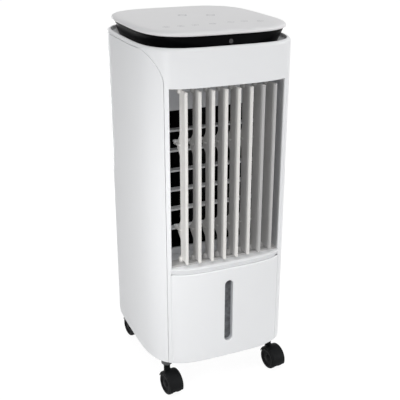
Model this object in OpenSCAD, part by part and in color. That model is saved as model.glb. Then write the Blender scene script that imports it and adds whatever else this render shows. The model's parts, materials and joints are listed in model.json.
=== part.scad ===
// Portable evaporative air cooler: white tower on castors with a bowed louvre bank.
// Millimetres, +Z up, +X right, front faces -Y, origin on the floor under the middle.

/* [Cabinet] */
// Width of the cabinet
body_w = 240; // [220:1:280]
// Depth of the cabinet
body_d = 265; // [250:1:300]
// Height of the cabinet's lower edge above the floor
floor_gap = 60; // [56:1:80]
// Height of the top edge of the side panels
panel_top = 553; // [540:1:600]
// Squareness of the plan outline
body_squareness = 4; // [3.2:0.1:5]
// Wall of the outer mouldings
wall = 2.5; // [1.8:0.1:3.5]
// Visible seam between two outer mouldings
seam = 0.5; // [0.3:0.1:1]
// Distance of the side panels' edges behind the cabinet's front and rear
panel_setback = 17; // [14:0.5:24]
// Radius of the side panels' upper front corner
panel_corner_r = 45; // [25:1:60]

/* [Front] */
// Width of the frame strip beside the air opening
opening_strip = 6; // [5:0.25:12]
// Lower edge of the air opening
opening_bottom = 226; // [222:1:240]
// Height of the fascia over the air opening
fascia_h = 50; // [41:1:70]
// Distance of the collar's rear edge behind the front
collar_setback = 20.5; // [18.5:0.5:24]
// Thickness of collar and throat walls
throat_wall = 2; // [1.5:0.1:3]
// Width of the frame strip beside the lower front panel
lower_strip = 5.25; // [3:0.25:9]
// Height of the sill band under the air opening
sill_h = 9.5; // [8:0.5:16]
// Height of the lip that is left proud along the top of the sill band
sill_lip = 3; // [2.2:0.1:5]
// Depth of the groove in the sill band
sill_groove = 1.8; // [1:0.1:2.2]
// Width of the water-level slot
window_w = 14; // [10:0.5:20]
// Distance of the water-level slot from the cabinet's lower edge
window_low_gap = 27; // [18:1:40]
// Distance of the water-level slot from the lower panel's top edge
window_high_gap = 21; // [20:1:70]
// Depth of the window lens behind the panel face
window_setback = 4; // [3.5:0.1:6]
// Thickness of the window lens
lens_t = 2; // [1.5:0.1:3]

/* [Outlet] */
// Distance of the throat's rear wall behind the front
throat_setback = 62.5; // [56:0.5:66]
// Distance of the outlet's sides from the opening's sides
outlet_side_gap = 10; // [6:0.5:20]
// Distance of the outlet's lower edge over the opening's lower edge
outlet_low_gap = 11; // [4:1:18]
// Distance of the outlet's upper edge under the opening's upper edge
outlet_high_gap = 45; // [33:1:73]
// Number of guard slats across the outlet
slat_count = 6; // [4:1:8]
// Thickness of a guard slat
slat_t = 2.5; // [2:0.1:3.5]
// Depth of a guard slat
slat_depth = 12; // [8:0.5:14]

/* [Louvres] */
// Number of upright louvre blades
louvre_count = 8; // [6:1:8]
// Distance of the outer louvre pivots from the opening's sides
louvre_margin = 22.75; // [22:0.05:28]
// Distance of the middle louvre pivots behind the front
louvre_setback = 25; // [24.5:0.5:28.5]
// How far the outer pivots stand back from the middle ones
louvre_bow = 4.5; // [2:0.5:7]
// Angle of the blades at rest, towards the right
louvre_rest_deg = 25; // [14:0.5:27]
// Extra angle of each blade over its left neighbour
louvre_fan_deg = 2; // [0:0.1:4]
// Radius of the blade's curved section
blade_curve_r = 40; // [34:1:60]
// Length of the blade section in front of its pivot, as a share of the pitch
blade_front_share = 1.03; // [0.85:0.01:1.08]
// Length of the blade section behind its pivot, as a share of the pitch
blade_rear_share = 0.335; // [0.32:0.005:0.42]
// Thickness of the blade
blade_t = 2.4; // [2:0.1:3]
// Radius of the bead along the blade's front edge
blade_bead_r = 2.5; // [1.6:0.1:2.8]
// Radius of the pivot pins
pivot_r = 2.5; // [2:0.1:3]
// Radial clearance of a pin in its hole
pin_clearance = 0.05; // [0.03:0.01:0.08]
// Thickness of the pivot rails
rail_t = 3; // [2.5:0.1:3.5]
// Depth of the pivot rails
rail_depth = 19; // [17:0.5:22]
// Angle of the crank at rest
crank_deg = 12; // [8:0.5:14]
// Angle that the louvres swing to each side of straight ahead
swing_deg = 30; // [20:1:32]
// Plastic round a link bar pin's hole
link_margin = 1.3; // [1:0.1:2]
// Distance of the upper link bar under the opening's upper edge
link_high_gap = 86; // [63:1:113]
// Distance of the lower link bar over the opening's lower edge
link_low_gap = 57; // [28:1:78]
// Radius of the link bar pins
link_pin_r = 1.5; // [1.2:0.1:1.8]
// Thickness of a link bar
link_t = 2.5; // [2:0.1:3]

/* [Top] */
// Height of the rim over the side panels
rim_h = 5; // [4:0.5:12]
// Height of the black neck over the rim
neck_h = 14; // [10:0.5:30]
// Height of the lid
lid_h = 8; // [6:0.5:14]
// Distance of the lid's sides from the cabinet's sides
lid_side_inset = 6; // [2:0.5:15]
// Distance of the lid's front and rear from the cabinet's front and rear
lid_end_inset = 5.5; // [2:0.5:12]
// Distance of the neck's foot from the cabinet's sides
neck_side_inset = 13; // [9:0.5:22]
// Distance of the neck's foot from the cabinet's front and rear
neck_end_inset = 7.5; // [6:0.5:16]

/* [Water] */
// Distance of the tank from the cabinet's sides
tank_side_gap = 43; // [42:0.5:50]
// Distance of the tank from the cabinet's front
tank_front_gap = 14.5; // [13.5:0.5:20]
// Distance of the tank's top edge under the middle deck
tank_head = 7; // [4:0.5:30]
// Wall of the tank
tank_wall = 2.5; // [2:0.1:3]
// Width of the rear frame's strip beside the tank's face
tank_face_strip = 11.35; // [10.8:0.05:15]
// Distance of the middle deck's underside under the lower panel's top edge
deck_drop = 10.5; // [7:0.5:11.5]
// Thickness of the decks
deck_t = 3; // [2.5:0.1:4]
// Thickness of the cooling pad
pad_t = 24; // [18:1:26]

/* [Rear] */
// Width of the rear frame's strip beside the air inlet
inlet_strip = 12.75; // [11.75:0.25:20]
// Distance of the inlet's lower edge over the middle deck's underside
inlet_low_gap = 20; // [18:1:28]
// Distance of the inlet's upper edge under the side panels' top edge
inlet_high_gap = 27; // [23:1:53]
// Height of a slot in the inlet grille
grille_slot_h = 5; // [4:0.5:6]
// Distance between slots in the inlet grille
grille_pitch = 9; // [8:0.5:14]

/* [Blower] */
// Radius of the blower wheel
wheel_r = 45; // [36:1:48]
// Number of blades on the blower wheel
wheel_blades = 24; // [16:1:30]
// Radius of the blower shaft
shaft_r = 4; // [3:0.1:5]
// Distance of the blower axis behind the middle plane
blower_y = 15; // [10:1:18]

/* [Castors] */
// Distance of the caster stems from the cabinet's sides
caster_side_gap = 27.5; // [27.5:0.5:36]
// Distance of the caster stems from the cabinet's front and rear
caster_end_gap = 36.5; // [36.5:0.5:42.5]
// Radius of a caster wheel
caster_wheel_r = 18.5; // [16:0.5:19]
// Width of one caster wheel
caster_wheel_w = 8.5; // [7.5:0.5:9.5]
// Distance from caster stem to wheel axle
caster_trail = 14; // [10:0.5:15]
// Radius of a caster stem
stem_r = 5; // [4:0.1:6]
// Height of the caster sockets below the cabinet's lower edge
socket_drop = 12; // [6:0.5:13]
// Angle of the castors at rest, wheels towards the right
caster_rest_deg = 8; // [0:1:8]

/* [Hidden] */

half_w = body_w / 2;
half_d = body_d / 2;
panel_edge_y = half_d - panel_setback;
seam_x = half_w * pow(1 - pow(panel_edge_y / half_d, body_squareness), 1 / body_squareness);

// Front: widths from the side seams, heights from the sill and the fascia
opening_half_w = seam_x - opening_strip;
opening_top = panel_top - fascia_h;
collar_depth_y = half_d - collar_setback;
lower_panel_half_w = seam_x - lower_strip;
lower_panel_top = opening_bottom - sill_h;
window_bottom = floor_gap + window_low_gap;
window_top = lower_panel_top - window_high_gap;
throat_back_y = half_d - throat_setback;
outlet_half_w = opening_half_w - outlet_side_gap;
outlet_bottom = opening_bottom + outlet_low_gap;
outlet_top = opening_top - outlet_high_gap;
louvre_pitch = 2 * (opening_half_w - louvre_margin) / (louvre_count - 1);
louvre_y = half_d - louvre_setback;
blade_front = louvre_pitch * blade_front_share;
blade_rear = louvre_pitch * blade_rear_share;
link_upper_z = opening_top - link_high_gap;
link_lower_z = opening_bottom + link_low_gap;

// Top: heights stacked on the side panels
rim_top = panel_top + rim_h;
lid_bottom = rim_top + neck_h;
lid_top = lid_bottom + lid_h;
lid_w = body_w - 2 * lid_side_inset;
lid_d = body_d - 2 * lid_end_inset;
neck_foot_w = body_w - 2 * neck_side_inset;
neck_foot_d = body_d - 2 * neck_end_inset;

// Water and rear
deck_z = lower_panel_top - deck_drop;
tank_half_w = half_w - tank_side_gap;
tank_front_y = half_d - tank_front_gap;
tank_top = deck_z - tank_head;
tank_face_half_w = seam_x - tank_face_strip;
inlet_half_w = seam_x - inlet_strip;
inlet_bottom = deck_z + inlet_low_gap;
inlet_top = panel_top - inlet_high_gap;

caster_x = half_w - caster_side_gap;
caster_y = half_d - caster_end_gap;
outline_steps = 96;
fit_gap = 0.3;
past = 1;
$fn = 48;

white = [0.93, 0.93, 0.94];
black = [0.06, 0.06, 0.07];
grey = [0.55, 0.56, 0.58];

// Louvre places: pivots stand on a shallow parabola, mirrored about the middle
louvre_last_x = louvre_pitch * (louvre_count - 1) / 2;
function louvre_x(i) = louvre_pitch * (i - (louvre_count + 1) / 2);
function bow_y(x) = -louvre_y + louvre_bow * pow(x / louvre_last_x, 2);
function louvre_angle(i) = louvre_rest_deg + louvre_fan_deg * (i - (louvre_count + 1) / 2);
link_half = link_pin_r + link_margin;
link_room = 0.8;
crank_len = (blade_rear + blade_t / 2 + link_room + link_half) / cos(swing_deg);
crank = [-crank_len * sin(crank_deg), crank_len * cos(crank_deg)];
louvre_master = 4;
blade_bottom = opening_bottom + rail_t + 3;
blade_top = opening_top - rail_t - 3;
boss_r = pivot_r + 2;

// Levels in the cabinet
base_t = 6;
base_top = floor_gap + base_t;
stem_in = 19;
stem_room = base_top + stem_in + 1;
socket_top = stem_room + 4;
socket_bottom = floor_gap - socket_drop;
runner_h = 3.7;
tank_bottom = base_top + runner_h + fit_gap;
deck_top = deck_z + deck_t;
top_deck_z = panel_top - 10;
top_deck_top = top_deck_z + deck_t;
casing_bottom = outlet_bottom - 3;
casing_top = outlet_top + 2;
casing_plate = 2;
motor_bottom = casing_top + casing_plate;

// Signed power, for outlines of the form |x/a|^n + |y/b|^n = 1
function signed_power(v, p) = sign(v) * pow(abs(v), p);
function outline(a, b, n) = [for (i = [0 : outline_steps - 1])
    let (t = 360 * i / outline_steps)
    [a * signed_power(cos(t), 2 / n), b * signed_power(sin(t), 2 / n)]];
function outline_y(x, inset) = (half_d - inset)
    * pow(1 - pow(abs(x) / (half_w - inset), body_squareness), 1 / body_squareness);

module body_outline(inset) {
    polygon(outline(half_w - inset, half_d - inset, body_squareness));
}

module wall_prism(z0, z1, outer_inset = 0, thickness = wall) {
    translate([0, 0, z0])
        linear_extrude(z1 - z0)
            difference() {
                body_outline(outer_inset);
                body_outline(outer_inset + thickness);
            }
}

// Box between two corners
module block(low, high) {
    translate(low)
        cube(high - low);
}

// Upright cylinder between two heights
module post(x, y, z0, z1, r) {
    translate([x, y, z0])
        cylinder(r = r, h = z1 - z0);
}

// Skin through superellipse rings [half width, half depth, squareness, height]
function ring_points(ring) = [for (p = outline(ring[0], ring[1], ring[2])) [p[0], p[1], ring[3]]];
function side_faces(count, closed) = [for (j = [0 : count - (closed ? 1 : 2)])
    for (i = [0 : outline_steps - 1])
        let (next_i = (i + 1) % outline_steps, next_j = (j + 1) % count)
        [j * outline_steps + i, next_j * outline_steps + i,
         next_j * outline_steps + next_i, j * outline_steps + next_i]];

// Closed ring whose section runs up the outside and down the inside
module ring_loft(rings) {
    polyhedron([for (r = rings) each ring_points(r)], side_faces(len(rings), true), convexity = 6);
}

// Closed body from its lowest ring to its highest
module solid_loft(rings) {
    count = len(rings);
    bottom = [for (i = [0 : outline_steps - 1]) i];
    top = [for (i = [outline_steps - 1 : -1 : 0]) (count - 1) * outline_steps + i];
    polyhedron([for (r = rings) each ring_points(r)],
               concat(side_faces(count, false), [bottom, top]), convexity = 4);
}

// Side view of a side panel, grown by a margin: y to the right, z up
module panel_side_view(margin) {
    front = -panel_edge_y - margin;
    top = panel_top + margin;
    bottom = floor_gap - margin;
    r = panel_corner_r + margin;
    translate([front + r, bottom])
        square([panel_edge_y + margin - front - r, top - bottom]);
    translate([front, bottom])
        square([r + past, top - bottom - r]);
    translate([front + r, top - r])
        circle(r = r, $fn = 96);
}

module panel_side_prism(margin, x0, x1) {
    translate([x0, 0, 0])
        rotate([90, 0, 90])
            linear_extrude(x1 - x0)
                panel_side_view(margin);
}

module left_side_panel() {
    color(white)
        intersection() {
            wall_prism(floor_gap, panel_top);
            panel_side_prism(0, -half_w - past, -past);
        }
}

module right_side_panel() {
    color(white)
        mirror([1, 0, 0])
            left_side_panel();
}

// Bowed front with fascia, opening collar, sill and strips beside the lower panel
module front_frame() {
    color(white)
        difference() {
            union() {
                intersection() {
                    wall_prism(floor_gap, panel_top);
                    block([-half_w - past, -half_d - past, 0],
                          [half_w + past, -panel_edge_y + panel_corner_r, panel_top]);
                }
                sill_band(0, lower_panel_half_w + seam, opening_bottom, sill_groove);
                opening_collar();
            }
            sill_band(past, lower_panel_half_w, opening_bottom - sill_lip, -past);
            panel_side_prism(seam, -half_w - past, -opening_half_w);
            panel_side_prism(seam, opening_half_w, half_w + past);
            block([-opening_half_w, -half_d - past, opening_bottom],
                  [opening_half_w, past, opening_top]);
            block([-lower_panel_half_w - seam, -half_d - past, 0],
                  [lower_panel_half_w + seam, past, lower_panel_top + seam]);
        }
}

// Stretch of wall along the sill, from its groove inwards or from its face to the groove
module sill_band(low, half_span, high, outer_inset) {
    intersection() {
        wall_prism(lower_panel_top - low, high, outer_inset, outer_inset > 0 ? wall : sill_groove + past);
        block([-half_span, -half_d - past, 0], [half_span, 0, panel_top]);
    }
}

// Duct collar behind the bowed opening
module opening_collar() {
    intersection() {
        block([-opening_half_w - throat_wall, -half_d, opening_bottom - throat_wall],
              [opening_half_w + throat_wall, -collar_depth_y, opening_top + throat_wall]);
        translate([0, 0, floor_gap])
            linear_extrude(panel_top - floor_gap)
                body_outline(wall / 2);
    }
}

// Upright slot with round ends along Y
module window_slot(grow, y0, y1) {
    r = window_w / 2 + grow;
    low = window_bottom + window_w / 2;
    high = window_top - window_w / 2;
    for (z = [low, high])
        translate([0, y1, z])
            rotate([90, 0, 0])
                cylinder(r = r, h = y1 - y0);
    block([-r, y0, low], [r, y1, high]);
}

lens_front = -half_d + window_setback;
lens_lip = 2.5;

module lower_front_panel() {
    color(white)
        difference() {
            union() {
                intersection() {
                    wall_prism(floor_gap, lower_panel_top);
                    block([-lower_panel_half_w, -half_d - past, 0], [lower_panel_half_w, 0, panel_top]);
                }
                window_slot(2 * lens_lip, -half_d + wall / 2, lens_front + lens_t);
            }
            window_slot(0, -half_d - past, 0);
            window_slot(lens_lip, lens_front, 0);
        }
}

module level_window() {
    color([0.6, 0.62, 0.65])
        window_slot(lens_lip - fit_gap / 3, lens_front, lens_front + lens_t);
}

// Floor of the cabinet with caster sockets and tank runners
module base_pan() {
    socket_r = stem_r + 4;
    runner_x = tank_half_w - 18;
    color(white)
        difference() {
            union() {
                translate([0, 0, floor_gap])
                    linear_extrude(base_t)
                        body_outline(wall + fit_gap);
                for (sx = [-1, 1]) {
                    for (sy = [-1, 1])
                        post(sx * caster_x, sy * caster_y, socket_bottom, socket_top, socket_r);
                    block([sx * runner_x - 3, -tank_front_y, base_top - past],
                          [sx * runner_x + 3, tank_front_y, base_top + runner_h]);
                }
            }
            for (sx = [-1, 1])
                for (sy = [-1, 1])
                    post(sx * caster_x, sy * caster_y, socket_bottom - past, stem_room,
                         stem_r + pin_clearance);
        }
}

filter_t = 2;
filter_y = half_d - 18.5;
pad_filter_gap = 4;
pad_half_w = inlet_half_w - 4;
pad_rear_y = filter_y - pad_filter_gap;
pad_front_y = pad_rear_y - pad_t;
pad_bottom = deck_top + fit_gap;
pad_top = inlet_top - 14;
hose_r = 4;
hose_x = pad_half_w - 20;
hose_y = pad_front_y - 10;
leg_r = 5;
leg_x = half_w - 23;
leg_y = half_d - 77.5;
pump_w = 40;
pump_d = 35;
pump_h = 40;
pump_floor_gap = 3.5;
pump_low = [hose_x + 5 - pump_w, hose_y + 9 - pump_d, tank_bottom + tank_wall + pump_floor_gap];
pump_high = pump_low + [pump_w, pump_d, pump_h];
hanger_x = pump_low[0] + 11;
hanger_y = pump_low[1] + 10;
hanger_r = 5;

// Shelf over the tank on four legs, with drain slots under the pad
module mid_deck() {
    drain_count = 5;
    drain_pitch = 30;
    drain_half = 12;
    color(white)
        difference() {
            union() {
                translate([0, 0, deck_z])
                    linear_extrude(deck_t)
                        intersection() {
                            body_outline(wall + fit_gap);
                            translate([-half_w, -collar_depth_y + 4])
                                square([body_w, collar_depth_y - 4 + panel_edge_y]);
                        }
                for (sx = [-1, 1])
                    for (sy = [-1, 1])
                        post(sx * leg_x, sy * leg_y, base_top, deck_z + past, leg_r);
            }
            post(hose_x, hose_y, deck_z - past, deck_top + past, hose_r + fit_gap);
            for (i = [0 : drain_count - 1])
                let (x = drain_pitch * (i - (drain_count - 1) / 2))
                block([x - drain_half, pad_front_y + 5, deck_z - past],
                      [x + drain_half, pad_rear_y - 5, deck_top + past]);
        }
}

board_half_w = half_w - 50;
board_d = 50;
board_front_y = -half_d + 30.5;
board_rear_y = board_front_y + board_d;
board_z = lid_bottom - 6;
board_t = 1.6;
board_inset = 8;

// Shelf under the top cover, with posts for the control board
module top_deck() {
    cable_r = 9;
    color(white)
        difference() {
            union() {
                translate([0, 0, top_deck_z])
                    linear_extrude(deck_t)
                        body_outline(wall + fit_gap);
                for (sx = [-1, 1])
                    for (y = [board_front_y + board_inset, board_rear_y - board_inset])
                        post(sx * (board_half_w - board_inset), y, top_deck_top - past, board_z, 3);
            }
            post(0, board_rear_y + 40, top_deck_z - past, top_deck_top + past, cable_r);
        }
}

// Rounded rim round the top edge, with the recessed ledge that the neck stands on
rim_r = rim_top - panel_top - 0.5;
ledge_z = panel_top - 1;
neck_wall = 3;
neck_foot_squareness = 3;
lid_squareness = 3.8;
neck_inset = 3;

module top_cover() {
    lip_inset = 5;
    ledge_inset = 8;
    low = panel_top + fit_gap;
    fillet = [for (a = [0 : 22.5 : 90])
        [half_w - rim_r * (1 - cos(a)), half_d - rim_r * (1 - cos(a)), body_squareness,
         rim_top - rim_r * (1 - sin(a))]];
    color(white)
        ring_loft(concat(
            [[half_w, half_d, body_squareness, low]],
            fillet,
            [[half_w - lip_inset, half_d - lip_inset, body_squareness, rim_top - 0.6],
             [half_w - lip_inset - 0.4, half_d - lip_inset - 0.4, body_squareness, ledge_z],
             [neck_foot_w / 2 - ledge_inset, neck_foot_d / 2 - ledge_inset, neck_foot_squareness, ledge_z],
             [neck_foot_w / 2 - ledge_inset, neck_foot_d / 2 - ledge_inset, neck_foot_squareness, ledge_z - 2],
             [half_w - wall - fit_gap, half_d - wall - fit_gap, body_squareness, ledge_z - 2],
             [half_w - wall - fit_gap, half_d - wall - fit_gap, body_squareness, low]]));
}

infrared_z = (rim_top + lid_bottom) / 2 - 2;
infrared_r = 3.2;

// Black band that leans out from the ledge to the lid
module neck_band() {
    top_z = lid_bottom;
    foot_a = neck_foot_w / 2;
    foot_b = neck_foot_d / 2;
    top_a = lid_w / 2 - neck_inset;
    top_b = lid_d / 2 - neck_inset;
    color(black)
        difference() {
            ring_loft([[foot_a, foot_b, neck_foot_squareness, ledge_z],
                       [top_a, top_b, lid_squareness, top_z],
                       [top_a - neck_wall, top_b - neck_wall, lid_squareness, top_z],
                       [foot_a - neck_wall, foot_b - neck_wall, neck_foot_squareness, ledge_z]]);
            infrared_plug(pin_clearance, half_d);
        }
}

module infrared_plug(grow, reach) {
    translate([0, -neck_foot_d / 2 + 2 * neck_wall, infrared_z])
        rotate([90, 0, 0])
            cylinder(r = infrared_r + grow, h = reach);
}

module infrared_window() {
    color([0.2, 0.16, 0.18])
        infrared_plug(0, 2 * neck_wall + 0.3);
}

// Thin lid with a round brim
module lid() {
    a = lid_w / 2;
    b = lid_d / 2;
    h = lid_top - lid_bottom;
    color(white)
        solid_loft([[a - neck_inset - 1, b - neck_inset - 1, lid_squareness, lid_bottom],
                    [a - 1, b - 1, lid_squareness, lid_bottom + 0.12 * h],
                    [a, b, lid_squareness, lid_bottom + 0.35 * h],
                    [a - 0.6, b - 0.6, lid_squareness, lid_bottom + 0.6 * h],
                    [a - 2.5, b - 2.5, lid_squareness, lid_bottom + 0.85 * h],
                    [a - 7, b - 7, lid_squareness, lid_bottom + 0.96 * h],
                    [a - 16, b - 16, lid_squareness, lid_top]]);
}

// Printed board with touch springs under the lid and a display block
module control_board() {
    key_count = 7;
    key_pitch = 19;
    key_r = 4;
    key_y = board_front_y + 14;
    display_half_w = 20;
    display_front_y = board_rear_y - 18;
    display_rear_y = board_rear_y - 4;
    color([0.1, 0.35, 0.2]) {
        block([-board_half_w, board_front_y, board_z], [board_half_w, board_rear_y, board_z + board_t]);
        for (i = [0 : key_count - 1])
            post(key_pitch * (i - (key_count - 1) / 2), key_y,
                 board_z + board_t, lid_bottom - fit_gap, key_r);
        block([-display_half_w, display_front_y, board_z + board_t],
              [display_half_w, display_rear_y, lid_bottom - fit_gap]);
    }
}

// Box behind the louvres, open to the front, with the air outlet in its rear wall
module outlet_throat() {
    w = opening_half_w + throat_wall;
    color(white)
        difference() {
            block([-w, -collar_depth_y, opening_bottom - throat_wall],
                  [w, -throat_back_y + throat_wall, opening_top + throat_wall]);
            block([-opening_half_w, -half_d, opening_bottom],
                  [opening_half_w, -throat_back_y, opening_top]);
            block([-outlet_half_w, -half_d, outlet_bottom], [outlet_half_w, 0, outlet_top]);
            post(louvre_x(louvre_master), bow_y(louvre_x(louvre_master)), 0, opening_bottom + past,
                 pivot_r + 1);
        }
}

// Horizontal guard slats standing behind the outlet
module guard_slats() {
    pitch = (outlet_top - outlet_bottom) / (slat_count + 1);
    front = -throat_back_y + throat_wall;
    color(grey)
        for (i = [1 : slat_count])
            block([-outlet_half_w - 3, front, outlet_bottom + pitch * i - slat_t / 2],
                  [outlet_half_w + 3, front + slat_depth, outlet_bottom + pitch * i + slat_t / 2]);
}

// Strip with one pivot hole for each louvre
module pivot_rail(z0) {
    front = -louvre_y - rail_depth / 2 + louvre_bow / 2;
    difference() {
        block([-opening_half_w + fit_gap, front, z0],
              [opening_half_w - fit_gap, front + rail_depth, z0 + rail_t]);
        for (i = [1 : louvre_count])
            post(louvre_x(i), bow_y(louvre_x(i)), z0 - past, z0 + rail_t + past, pivot_r + pin_clearance);
    }
}

module louvre_top_rail() {
    color(white)
        pivot_rail(opening_top - rail_t);
}

module louvre_bottom_rail() {
    color(white)
        pivot_rail(opening_bottom);
}

// Blade section: an arc hollow towards the left, with a bead along its front edge.
// Local frame: pivot at the origin, blade pointing to -Y at angle 0.
module blade_section(z0, z1) {
    turn_front = 180 / PI * blade_front / blade_curve_r;
    turn_rear = 180 / PI * blade_rear / blade_curve_r;
    bead_inset = 0.6;
    translate([-blade_curve_r, 0, z0])
        rotate([0, 0, -turn_front])
            rotate_extrude(angle = turn_front + turn_rear, $fn = 96)
                translate([blade_curve_r - blade_t / 2, 0])
                    square([blade_t, z1 - z0]);
    translate([-blade_curve_r, 0, 0])
        rotate([0, 0, -turn_front])
            post(blade_curve_r, 0, z0 + bead_inset, z1 - bead_inset, blade_bead_r);
}

// Arm from the blade to its crank pin, and the pin that carries the link bar
module link_lug(angle, z) {
    lug_t = 3;
    lug_w = 4.4;
    arm_inset = 0.4;
    arm = [crank[0] * cos(-angle) - crank[1] * sin(-angle), crank[0] * sin(-angle) + crank[1] * cos(-angle)];
    reach = atan2(arm[1], arm[0]);
    rotate([0, 0, reach])
        block([0, -lug_w / 2, z - fit_gap - lug_t + arm_inset],
              [crank_len, lug_w / 2, z - fit_gap - arm_inset]);
    post(arm[0], arm[1], z - fit_gap - lug_t, z - fit_gap, lug_w / 2 + 0.6);
    post(arm[0], arm[1], z - fit_gap - lug_t, z + link_t + 1, link_pin_r);
}

module louvre(i) {
    angle = louvre_angle(i);
    corner_r = 8;
    foot = i == louvre_master ? opening_bottom - throat_wall - 9 : opening_bottom + fit_gap;
    color(white)
        translate([louvre_x(i), bow_y(louvre_x(i)), 0])
            rotate([0, 0, angle]) {
                difference() {
                    blade_section(blade_bottom, blade_top);
                    for (z = [blade_bottom, blade_top])
                        translate([-boss_r - blade_curve_r / 2, blade_rear + 3, z])
                            rotate([0, 90, 0])
                                cylinder(r = corner_r, h = blade_curve_r);
                }
                post(0, 0, foot, blade_bottom + 6, pivot_r);
                post(0, 0, opening_bottom + rail_t + fit_gap, blade_bottom + 6, boss_r);
                post(0, 0, blade_top - 6, opening_top - fit_gap, pivot_r);
                post(0, 0, blade_top - 6, opening_top - rail_t - fit_gap, boss_r);
                for (z = [link_upper_z, link_lower_z])
                    link_lug(angle, z);
            }
}

// Thin bar that follows the row of crank pins
module link_bar(z) {
    end = louvre_last_x + link_half;
    stations = [for (k = [-12 : 12]) end * k / 12];
    color(grey)
        difference() {
            translate([crank[0], crank[1], z])
                linear_extrude(link_t)
                    polygon(concat([for (x = stations) [x, bow_y(x) - link_half]],
                                   [for (k = [24 : -1 : 0]) [stations[k], bow_y(stations[k]) + link_half]]));
            for (i = [1 : louvre_count])
                post(louvre_x(i) + crank[0], bow_y(louvre_x(i)) + crank[1], z - past, z + link_t + past,
                     link_pin_r + pin_clearance);
        }
}

module link_bar_upper() {
    link_bar(link_upper_z);
}

module link_bar_lower() {
    link_bar(link_lower_z);
}

// Flat synchronous motor under the throat's floor; its hub takes the driven louvre's long pin
module swing_motor() {
    motor_r = 14;
    top = opening_bottom - throat_wall;
    x = louvre_x(louvre_master);
    y = bow_y(x);
    ear = motor_r + 5;
    color([0.75, 0.75, 0.72])
        difference() {
            union() {
                post(x, y + 6, deck_top, top, motor_r);
                block([x - ear, y + 3, top - 2], [x + ear, y + 9, top]);
            }
            post(x, y, top - 10, top + past, pivot_r + pin_clearance);
        }
}

// Cross-flow casing: end plates, guide wall on the right, stabiliser on the left
casing_pad_gap = 3;
casing_wall = 2;
casing_r = pad_front_y - blower_y - casing_pad_gap - casing_wall;
casing_front = -throat_back_y + throat_wall + slat_depth + fit_gap;

module casing_plan() {
    translate([0, blower_y])
        circle(r = casing_r + casing_wall, $fn = 96);
    translate([-outlet_half_w - casing_wall, casing_front])
        square([2 * (outlet_half_w + casing_wall), blower_y - casing_front]);
}

module casing_walls() {
    guide_turn = 70;
    side = outlet_half_w + casing_wall;
    tongue_y = blower_y - 20;
    tongue_x = wheel_r + 6;
    translate([0, blower_y, casing_bottom])
        rotate_extrude(angle = guide_turn, $fn = 96)
            translate([casing_r, 0])
                square([casing_wall, casing_top - casing_bottom]);
    block([outlet_half_w, casing_front, casing_bottom], [side, blower_y, casing_top]);
    block([casing_r, blower_y - casing_wall, casing_bottom], [side, blower_y, casing_top]);
    block([-side, casing_front, casing_bottom], [-outlet_half_w, tongue_y, casing_top]);
    block([-side, tongue_y - casing_wall, casing_bottom], [-tongue_x + casing_wall, tongue_y, casing_top]);
    post(-tongue_x, tongue_y - casing_wall / 2, casing_bottom, casing_top, 1.5 * casing_wall);
}

module blower_casing() {
    foot_r = 5;
    color([0.85, 0.85, 0.86])
        difference() {
            union() {
                for (z = [casing_bottom - casing_plate, casing_top])
                    translate([0, 0, z])
                        linear_extrude(casing_plate)
                            casing_plan();
                casing_walls();
                for (sx = [-1, 1]) {
                    post(sx * (outlet_half_w - 8), casing_front + 8, deck_top, casing_bottom - 1, foot_r);
                    post(sx * (casing_r - 20), blower_y + casing_r - 30, deck_top, casing_bottom - 1, foot_r);
                }
            }
            post(0, blower_y, casing_bottom - casing_plate - past, casing_bottom + past,
                 shaft_r + pin_clearance);
            post(0, blower_y, casing_top - past, casing_top + casing_plate + past, shaft_r + 4);
        }
}

wheel_bottom = casing_bottom + 5;
wheel_top = casing_top - 5;

// Drum of curved blades between three discs on a through shaft
module blower_wheel() {
    disc_t = 2;
    blade_r = 9;
    blade_wall = 1;
    mid = (wheel_bottom + wheel_top) / 2;
    color([0.15, 0.15, 0.16])
        translate([0, blower_y, 0]) {
            for (z = [wheel_bottom, mid, wheel_top - disc_t])
                post(0, 0, z, z + disc_t, wheel_r);
            post(0, 0, casing_bottom - casing_plate, motor_bottom + 20, shaft_r);
            for (i = [0 : wheel_blades - 1])
                rotate([0, 0, 360 * i / wheel_blades])
                    translate([wheel_r - blade_r - 1, 0, wheel_bottom])
                        rotate_extrude(angle = 75, $fn = 48)
                            translate([blade_r - blade_wall, 0])
                                square([blade_wall, wheel_top - wheel_bottom]);
        }
}

module blower_motor() {
    motor_r = 36;
    motor_h = 38;
    cap_r = 16;
    color([0.3, 0.3, 0.32])
        difference() {
            union() {
                post(0, blower_y, motor_bottom, motor_bottom + motor_h, motor_r);
                post(0, blower_y, motor_bottom + motor_h - past, motor_bottom + motor_h + 6, cap_r);
            }
            post(0, blower_y, motor_bottom - past, motor_bottom + 22, shaft_r + pin_clearance);
        }
}

// Pleated evaporation pad
module cooling_pad() {
    pleats = 32;
    pleat_w = 2 * pad_half_w / pleats;
    pleat_depth = 4;
    front = [for (k = [0 : 2 * pleats])
        [-pad_half_w + k * pleat_w / 2, pad_front_y + (k % 2) * pleat_depth]];
    rear = [for (k = [2 * pleats : -1 : 0])
        [-pad_half_w + k * pleat_w / 2, pad_rear_y - pleat_depth + (k % 2) * pleat_depth]];
    color([0.5, 0.36, 0.22])
        translate([0, 0, pad_bottom])
            linear_extrude(pad_top - pad_bottom)
                polygon(concat(front, rear));
}

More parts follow.
